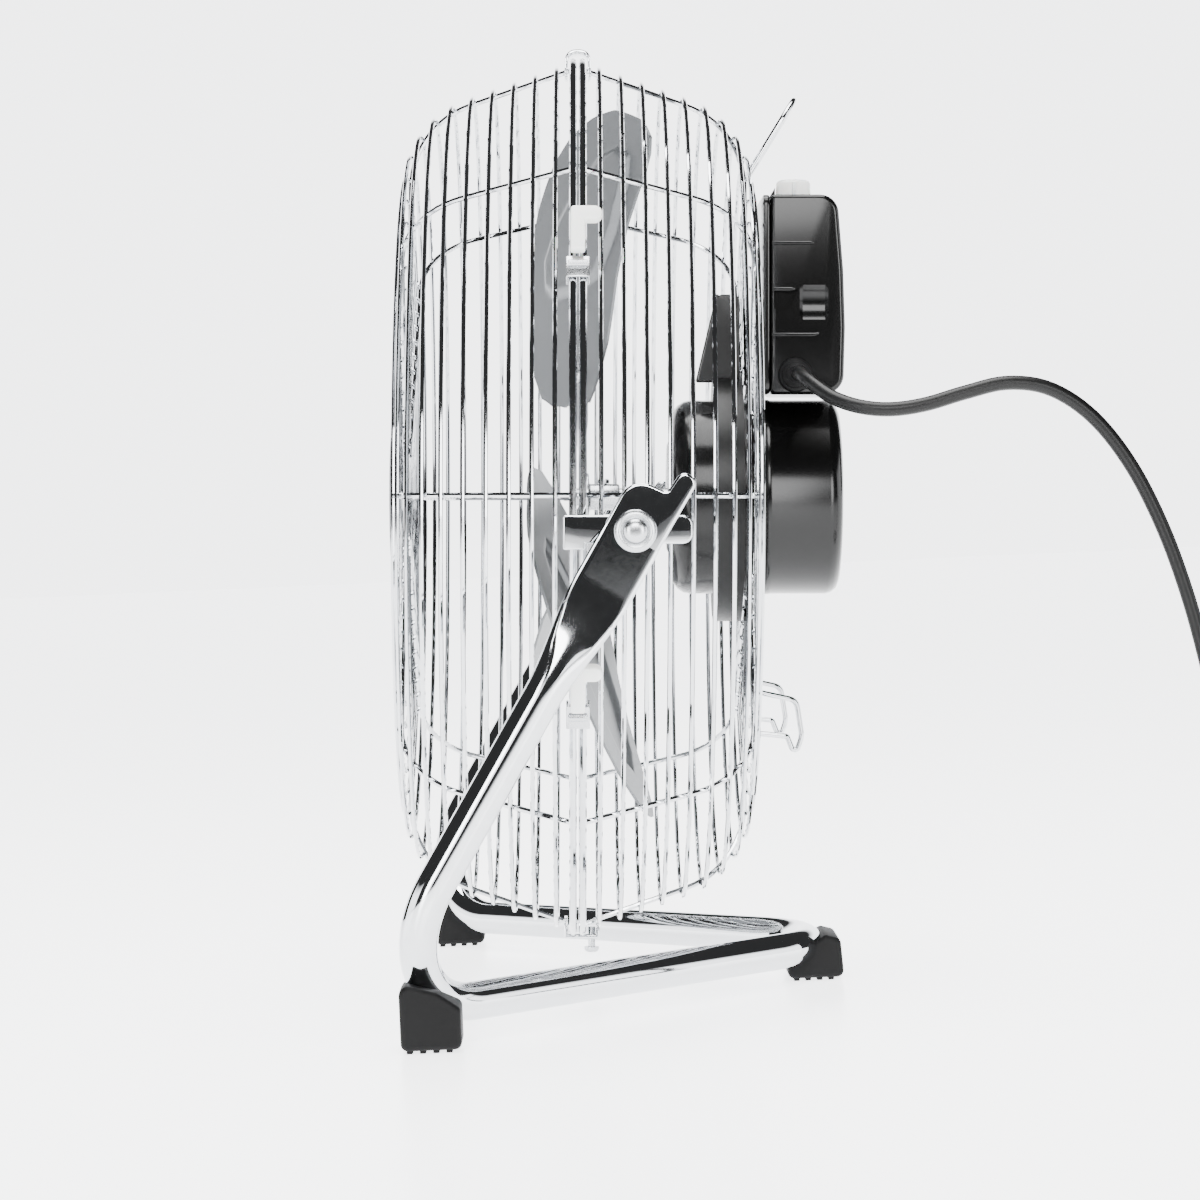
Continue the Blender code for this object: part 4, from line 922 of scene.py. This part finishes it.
outside = [
    (0.0, 0.0), (0.018, 0.0), (0.0190, -0.0004), (0.0200, 0.0), (0.0340, -0.0004),
    (MOTOR_R - 0.0050, -0.0010), (MOTOR_R - 0.0024, -0.0022), (MOTOR_R - 0.0008, -0.0042),
    (MOTOR_R, -0.0068), (MOTOR_R, -0.0322), (MOTOR_R + 0.0003, -0.0328),
    (MOTOR_R + 0.0003, -0.0356), (MOTOR_R, -0.0362),
]
shell = spun(inside + outside, "Y", 128, True, REAR_Y)
# The outline's one edge along the axis sweeps no face, so it is taken away.
loose = [edge for edge in shell.edges if not edge.link_faces]
bmesh.ops.delete(shell, geom=loose, context="EDGES")
show("motor_rear_shell", shell, ABS, ["motor_rear_cover"])

# %% [markdown]
# ## Shaft, hub and blades
# Three pressed blades are riveted to a flat spider, and a turned hub with a set screw
# locks it to the shaft. A blade starts as a flat grid: each of its rows takes a place
# on an arc between the trailing and the leading edge. A shield-shaped field is
# pressed back by two millimetres to stiffen it, and Solidify gives it the sheet's gauge.

# %% Shaft and hub
FIT = 0.0003
SHAFT_R = 0.004
shaft = spun([
    (0.0, -0.0030), (0.0034, -0.0030), (SHAFT_R, -0.0024), (SHAFT_R, REAR_Y - 0.0034),
    (0.0, REAR_Y - 0.0034),
], "Y", 40)
show("motor_shaft", shaft, ZINC, ["shaft"], "fan")
hub = spun([
    (SHAFT_R + FIT, 0.0036), (0.0106, 0.0036), (0.0110, 0.0040), (0.0110, 0.0047),
    (0.0106, 0.0051), (0.0066, 0.0053), (0.0060, 0.0059), (0.0060, 0.0182), (0.0056, 0.0190),
    (0.0050, 0.0192), (SHAFT_R + FIT, 0.0192),
], "Y", 64, True)
show("blade_hub", hub, ZINC, ["hub"], "fan")
grub = spun([
    (0.0, 0.0043), (0.0015, 0.0043), (0.0015, 0.0062), (0.0026, 0.0062), (0.0027, 0.0066),
    (0.0027, 0.0077), (0.0022, 0.0082), (0.0, 0.0084),
], "Z", 28)
show(
    "hub_screw", grub, ZINC, ["set_screw"], "fan",
    HEAD @ Matrix.Translation((0.0, 0.0118, 0.0)),
)

# %% Blade shape
BLADE_T, BLADE_RISE, PRESS_DEPTH = 0.0012, 0.45, 0.0022
BLADE_NORMAL = Vector((-BLADE_RISE, 1.0, 0.0)).normalized()
ROWS = [
    (0.0440, -20.0, 12.0), (0.0500, -33.0, 16.0), (0.0600, -40.0, 19.5), (0.0750, -39.5, 21.5),
    (0.0900, -34.0, 21.0), (0.1050, -28.5, 20.3), (0.1280, -22.6, 21.0), (0.1420, -17.0, 22.5),
    (0.1560, -10.0, 24.0), (0.1660, -3.0, 24.4), (0.1730, 4.5, 23.6), (FAN_R, 11.5, 20.5),
]
SHIELD = [Vector(p) for p in (
    (-0.034, 0.110), (-0.033, 0.098), (-0.024, 0.093), (0.000, 0.095), (0.020, 0.101),
    (0.036, 0.120), (0.047, 0.140), (0.049, 0.152), (0.040, 0.157), (0.022, 0.154),
    (-0.004, 0.140), (-0.024, 0.124),
)]


def row_at(radius):
    """Trailing and leading angle of the blade at a radius."""
    for (r0, t0, l0), (r1, t1, l1) in zip(ROWS, ROWS[1:]):
        if radius <= r1:
            share = (radius - r0) / (r1 - r0)
            return t0 + (t1 - t0) * share, l0 + (l1 - l0) * share
    return ROWS[-1][1:]


def inside_shield(x, z):
    """How far a point lies inside the pressed field, negative outside it."""
    here = Vector((x, z))
    nearest, crossings = 1.0, 0
    for a, b in zip(SHIELD, SHIELD[1:] + SHIELD[:1]):
        run = b - a
        share = max(0.0, min(1.0, (here - a).dot(run) / run.length_squared))
        nearest = min(nearest, (here - a - run * share).length)
        if (a.y > z) != (b.y > z) and x < a.x + (z - a.y) / (b.y - a.y) * (b.x - a.x):
            crossings += 1
    return nearest if crossings % 2 else -nearest


def blade(turn):
    """A pressed blade, turned to its place round the hub."""
    across, along = 56, 110
    bm = bmesh.new()
    bmesh.ops.create_grid(bm, x_segments=across, y_segments=along, size=0.5)
    for vert in bm.verts:
        share, climb = vert.co.x + 0.5, vert.co.y + 0.5
        radius = ROWS[0][0] + (FAN_R - ROWS[0][0]) * (1 - (1 - climb) ** 1.35)
        trail, lead = row_at(radius)
        angle = radians(trail + (lead - trail) * share)
        x, z = radius * sin(angle), radius * cos(angle)
        pressed = PRESS_DEPTH * ease((inside_shield(x, z) + 0.0015) / 0.0042)
        vert.co = Vector((x, x * BLADE_RISE, z)) - BLADE_NORMAL * pressed
    bmesh.ops.recalc_face_normals(bm, faces=bm.faces)
    bmesh.ops.solidify(bm, geom=bm.faces[:], thickness=BLADE_T)
    bmesh.ops.translate(bm, verts=bm.verts, vec=BLADE_NORMAL * (BLADE_T / 2))
    bmesh.ops.rotate(bm, verts=bm.verts, matrix=turn)
    return bm


# %% Spider arm and rivets
def spider_arm(turn):
    """An arm that twists from flat at the centre to the blade's pitch."""
    lift = BLADE_T / 2 + FIT + 0.00075
    bm = bmesh.new()
    bmesh.ops.create_grid(bm, x_segments=6, y_segments=30, size=0.5)
    for vert in bm.verts:
        x, reach = vert.co.x * 0.014, 0.010 + (vert.co.y + 0.5) * 0.052
        twist = ease((reach - 0.016) / 0.020)
        centre = Vector((0.0, 0.00225, 0.0)).lerp(BLADE_NORMAL * lift, twist)
        if reach > 0.0555:
            x *= sqrt(max(0.0, 1 - ((reach - 0.0555) / 0.0070) ** 2)) * 0.97 + 0.03
        vert.co = Vector((x, x * BLADE_RISE * twist, reach)) + centre
    bmesh.ops.recalc_face_normals(bm, faces=bm.faces)
    bmesh.ops.solidify(bm, geom=bm.faces[:], thickness=0.0015)
    centre = sum((v.co.y for v in bm.verts), 0.0) / len(bm.verts)
    bmesh.ops.translate(bm, verts=bm.verts, vec=(0.0, 0.00115 - centre, 0.0))
    bmesh.ops.rotate(bm, verts=bm.verts, matrix=turn)
    return bm


def rivet_shape():
    """A rivet through the blade and its spider arm."""
    low, high = -BLADE_T / 2 - FIT, BLADE_T / 2 + 2 * FIT + 0.0015
    return spun([
        (0.0, low - 0.0015), (0.0016, low - 0.0014), (0.0030, low - 0.0009),
        (0.0038, low - 0.0003), (0.0040, low), (0.0020, low), (0.0020, high),
        (0.0038, high), (0.0036, high + 0.0006), (0.0026, high + 0.0010), (0.0, high + 0.0011),
    ], "Y", 28)


arms = [spun([
    (SHAFT_R + FIT, 0.0012), (0.0146, 0.0012), (0.0150, 0.0016), (0.0150, 0.0029),
    (0.0146, 0.0033), (SHAFT_R + FIT, 0.0033),
], "Y", 64, True)]
lean = Matrix.Rotation(atan2(BLADE_RISE, 1.0), 4, "Z")
for i in range(3):
    turn = Matrix.Rotation(2 * pi * i / 3, 3, "Y")
    arms.append(spider_arm(turn))
    show(f"fan_blade_{i + 1}", blade(turn), BLADE_METAL, [f"blade_{i + 1}"], "fan", sharp=50)
    show(
        f"fan_rivet_{i + 1}", rivet_shape(), ZINC, [f"blade_rivet_{i + 1}"], "fan",
        HEAD @ turn.to_4x4() @ Matrix.Translation((0.0, 0.0, 0.056)) @ lean,
    )
show("fan_spider", join(*arms), ZINC, ["blade_spider"], "fan")
print("blades: 3, swept radius", FAN_R)

# %% [markdown]
# ## Control box
# A moulded cover closes on a plate behind the guard. We extrude its side outline and
# ease the edges. Each side then gets a shallow pocket and a curved hollow, carved with
# a boolean, and three thin ledges; a small fin stands at the top in front of the knob.

# %% Box and its side panels
BOX_HALF, BOX_FRONT, BOX_REAR = 0.032, 0.0836, 0.1206
BOX_BOTTOM, BOX_TOP = 0.0465, 0.1364
side_outline = rounded([
    (BOX_FRONT + 0.0032, BOX_BOTTOM, 0.0), (BOX_REAR - 0.0008, BOX_BOTTOM, 0.0085),
    (BOX_REAR, BOX_BOTTOM + 0.030, 0.0), (BOX_REAR - 0.0008, BOX_TOP - 0.034, 0.0),
    (BOX_REAR - 0.0035, BOX_TOP, 0.0085), (BOX_FRONT + 0.0032, BOX_TOP, 0.0),
], 8)
tools = []
for side in (1, -1):
    dish = spun([
        (0.0, 0.1000), (0.0125, 0.1000), (0.0135, 0.1015), (0.0135, 0.1115),
        (0.0125, 0.1130), (0.0, 0.1130),
    ], "Y", 128)
    bmesh.ops.translate(dish, verts=dish.verts, vec=(side * (BOX_HALF + 0.0110), 0.0, 0.0877))
    low, high = across(side, BOX_HALF - 0.0022, BOX_HALF + 0.002)
    pocket = cut(rounded([
        (0.0884, 0.0934, 0.0), (0.0884, 0.0840, 0.0012), (0.0955, 0.0840, 0.0048),
        (0.0992, 0.0934, 0.0),
    ], 5), low, high, "YZ")
    tools += [dish, pocket]
parts = [carve(cut(side_outline, -BOX_HALF, BOX_HALF, "YZ", 0.0022, 4), *tools)]
for side in (1, -1):
    low, high = across(side, BOX_HALF - 0.001, BOX_HALF + 0.0012)
    for z, y_low, y_high, rise in (
        (0.1145, 0.0874, 0.1086, 0.0), (0.0937, 0.0878, 0.1000, 0.0),
        (0.0731, 0.0874, 0.1112, 0.0022),
    ):
        ledge = rounded([
            (y_low, z - 0.0008, 0.0005), (y_high - 0.004, z - 0.0008, 0.004),
            (y_high, z + rise, 0.0005), (y_high - 0.004, z + 0.0008, 0.003),
            (y_low, z + 0.0008, 0.0005),
        ], 3)
        parts.append(cut(ledge, low, high, "YZ", 0.0002, 2))
parts.append(cut(
    [(0.0866, BOX_TOP - 0.001), (0.0904, BOX_TOP - 0.001), (0.0904, BOX_TOP + 0.0055)],
    -0.0022, 0.0022, "YZ", 0.0003,
))
show("switch_box", join(*parts), ABS, ["control_box_cover"], sharp=30)
corners = oblong(-BOX_HALF, BOX_BOTTOM, BOX_HALF, BOX_TOP)
outline = rounded([(a, b, 0.005) for a, b in corners])
plate = cut(outline, BOX_FRONT, BOX_FRONT + 0.0029, "XZ", 0.0006)
show("switch_box_plate", plate, ABS, ["control_box_base"])

# %% [markdown]
# ## Knob and cord gland
# The speed knob is a white cap with a raised pointer. The gland
# is a rubber collar with a tapered sleeve that stops the cord from kinking.

# %% Speed knob
knob_base = BOX_TOP + 0.0006
knob = spun([
    (0.0, -0.0060), (0.0030, -0.0060), (0.0030, 0.0), (0.0076, 0.0), (0.0080, 0.0004),
    (0.0078, 0.0066), (0.0072, 0.0076), (0.0060, 0.0082), (0.0, 0.0083),
], "Z", 72, base=knob_base)
pointer = cut(rounded([
    (0.0068, -0.0010, 0.0), (0.0088, -0.0010, 0.0006), (0.0088, 0.0010, 0.0006),
    (0.0068, 0.0010, 0.0),
]), knob_base + 0.0004, knob_base + 0.0070, "XY", 0.0003)
show(
    "speed_dial", join(knob, pointer), ACETAL, ["speed_knob"], "knob",
    HEAD @ Matrix.Translation((0.0, 0.0988, 0.0)),
)

# %% Cord gland
RIBS = 6
gland_outline = [(0.0, -0.0030), (0.0078, -0.0030), (0.0078, 0.0022), (0.0072, 0.0034),
                 (0.0060, 0.0040)]
for i in range(RIBS):
    start, radius = 0.0046 + i * 0.0030, 0.0058 - i * 0.00026
    gland_outline += [
        (radius, start), (radius, start + 0.0018), (radius - 0.0008, start + 0.0020),
        (radius - 0.0008, start + 0.0028),
    ]
gland_outline += [(0.0041, 0.0228), (0.0038, 0.0232), (0.0, 0.0232)]
show(
    "cord_sleeve", spun(gland_outline, "X", 40), RUBBER, ["cord_gland"],
    matrix=HEAD @ Matrix.Translation((BOX_HALF, 0.0979, 0.0548)),
)

# %% [markdown]
# ## What stays from the CAD
# Inside the motor and the box nothing shows, so the CAD shapes stay and get the
# right finish: laminated steel, copper, bearing steel and moulded cases.

# %% Dress the hidden parts
KEPT = {
    "stator": LAMINATION, "rotor": LAMINATION, "front_winding": COPPER, "rear_winding": COPPER,
    "front_bearing": ZINC, "rear_bearing": ZINC, "capacitor": CREAM, "speed_switch": NYLON,
}
for name, mat in KEPT.items():
    for slot_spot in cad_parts[name].material_slots:
        slot_spot.material = mat
print("CAD pieces kept:", len(KEPT))

# %% [markdown]
# ## Floor and light
# A pale sweep with a little gloss, a soft light from above and one at each side. The
# room behind the camera stays dark, because chrome only looks like chrome when it
# has something dark to mirror between the lights.

# %% Floor
floor_mat = material("pale_studio_sheet", "#F4F4F4", 0.28)
grain(floor_mat, 6.0, 0.0, (0.24, 0.32), ("#F3F3F3", "#F6F6F6"))
# Beyond the right side the sheet only glows for the camera, so flat chrome mirrors dark.
spot = add(floor_mat, "ShaderNodeTexCoord")
spot_x = add(floor_mat, "ShaderNodeSeparateXYZ", links={"Vector": spot.outputs["Object"]})
near = add(
    floor_mat, "ShaderNodeMapRange",
    values={"From Min": 0.8, "From Max": 1.3, "To Min": 1.0, "To Max": 0.02},
    links={"Value": spot_x.outputs["X"]},
)
path = add(floor_mat, "ShaderNodeLightPath")
share = maths(floor_mat, "MAXIMUM", near.outputs["Result"], path.outputs["Is Camera Ray"])
glow = maths(floor_mat, "MULTIPLY", share, 3.0)
sheet = floor_mat.node_tree.nodes["Principled BSDF"]
sheet.inputs["Emission Color"].default_value = linear("#FAFBFD")
floor_mat.node_tree.links.new(glow, sheet.inputs["Emission Strength"])
sweep = bmesh.new()
bmesh.ops.create_grid(sweep, x_segments=1, y_segments=1, size=12.0)
floor = placed("studio_floor", to_mesh(sweep, "studio_floor"))
floor.data.materials.append(floor_mat)
floor.data.shade_smooth()

# %% Lights
world = bpy.data.worlds.new("studio")
world.use_nodes = True
look = add(world, "ShaderNodeTexCoord")
toward = add(world, "ShaderNodeSeparateXYZ", links={"Vector": look.outputs["Generated"]})
# Bright up to 14 degrees above the horizon, dark from 21 degrees up.
low_band = add(
    world, "ShaderNodeMapRange",
    values={
        "From Min": sin(radians(14)), "From Max": sin(radians(21)), "To Min": 1.0, "To Max": 0.0,
    },
    links={"Value": toward.outputs["Z"]},
)
# Two dark flags on each side, between 42 and 70 degrees from the tilt axis.
side_x = maths(world, "ABSOLUTE", toward.outputs["X"])
flags = maths(world, "COMPARE", side_x, cos(radians(56)), 0.19)
# One more straight out from the fan's right side, for its flat plated parts to mirror.
side_flag = maths(world, "GREATER_THAN", toward.outputs["X"], cos(radians(22)))
open_side = maths(world, "SUBTRACT", 1.0, maths(world, "MAXIMUM", flags, side_flag))
lit = maths(world, "MULTIPLY", low_band.outputs["Result"], open_side)
level = add(
    world, "ShaderNodeMapRange", values={"To Min": 0.05, "To Max": 4.6},
    links={"Value": lit},
)
backdrop = world.node_tree.nodes["Background"]
backdrop.inputs["Color"].default_value = linear("#FAFBFD")
world.node_tree.links.new(level.outputs["Result"], backdrop.inputs["Strength"])
bpy.context.scene.world = world
for name, place, aim, size, power in (
    ("top_softbox", (0.05, 0.0, 1.8), (0.0, 0.0, 0.2), (1.1, 1.5), 70.0),
    ("camera_softbox", (1.95, 0.0, 1.15), (0.0, 0.0, 0.25), (1.0, 0.8), 40.0),
    ("front_strip", (1.6, -1.05, 0.45), (0.0, 0.0, 0.25), (0.45, 0.9), 14.0),
    ("rear_strip", (1.6, 1.05, 0.45), (0.0, 0.0, 0.25), (0.45, 0.9), 14.0),
):
    lamp = bpy.data.lights.new(name, "AREA")
    lamp.shape = "RECTANGLE"
    lamp.size, lamp.size_y = size
    lamp.energy = power
    holder = placed(name, lamp)
    holder.location = place
    holder.rotation_euler = (Vector(aim) - Vector(place)).to_track_quat("-Z", "Y").to_euler()
print("lights: 4")
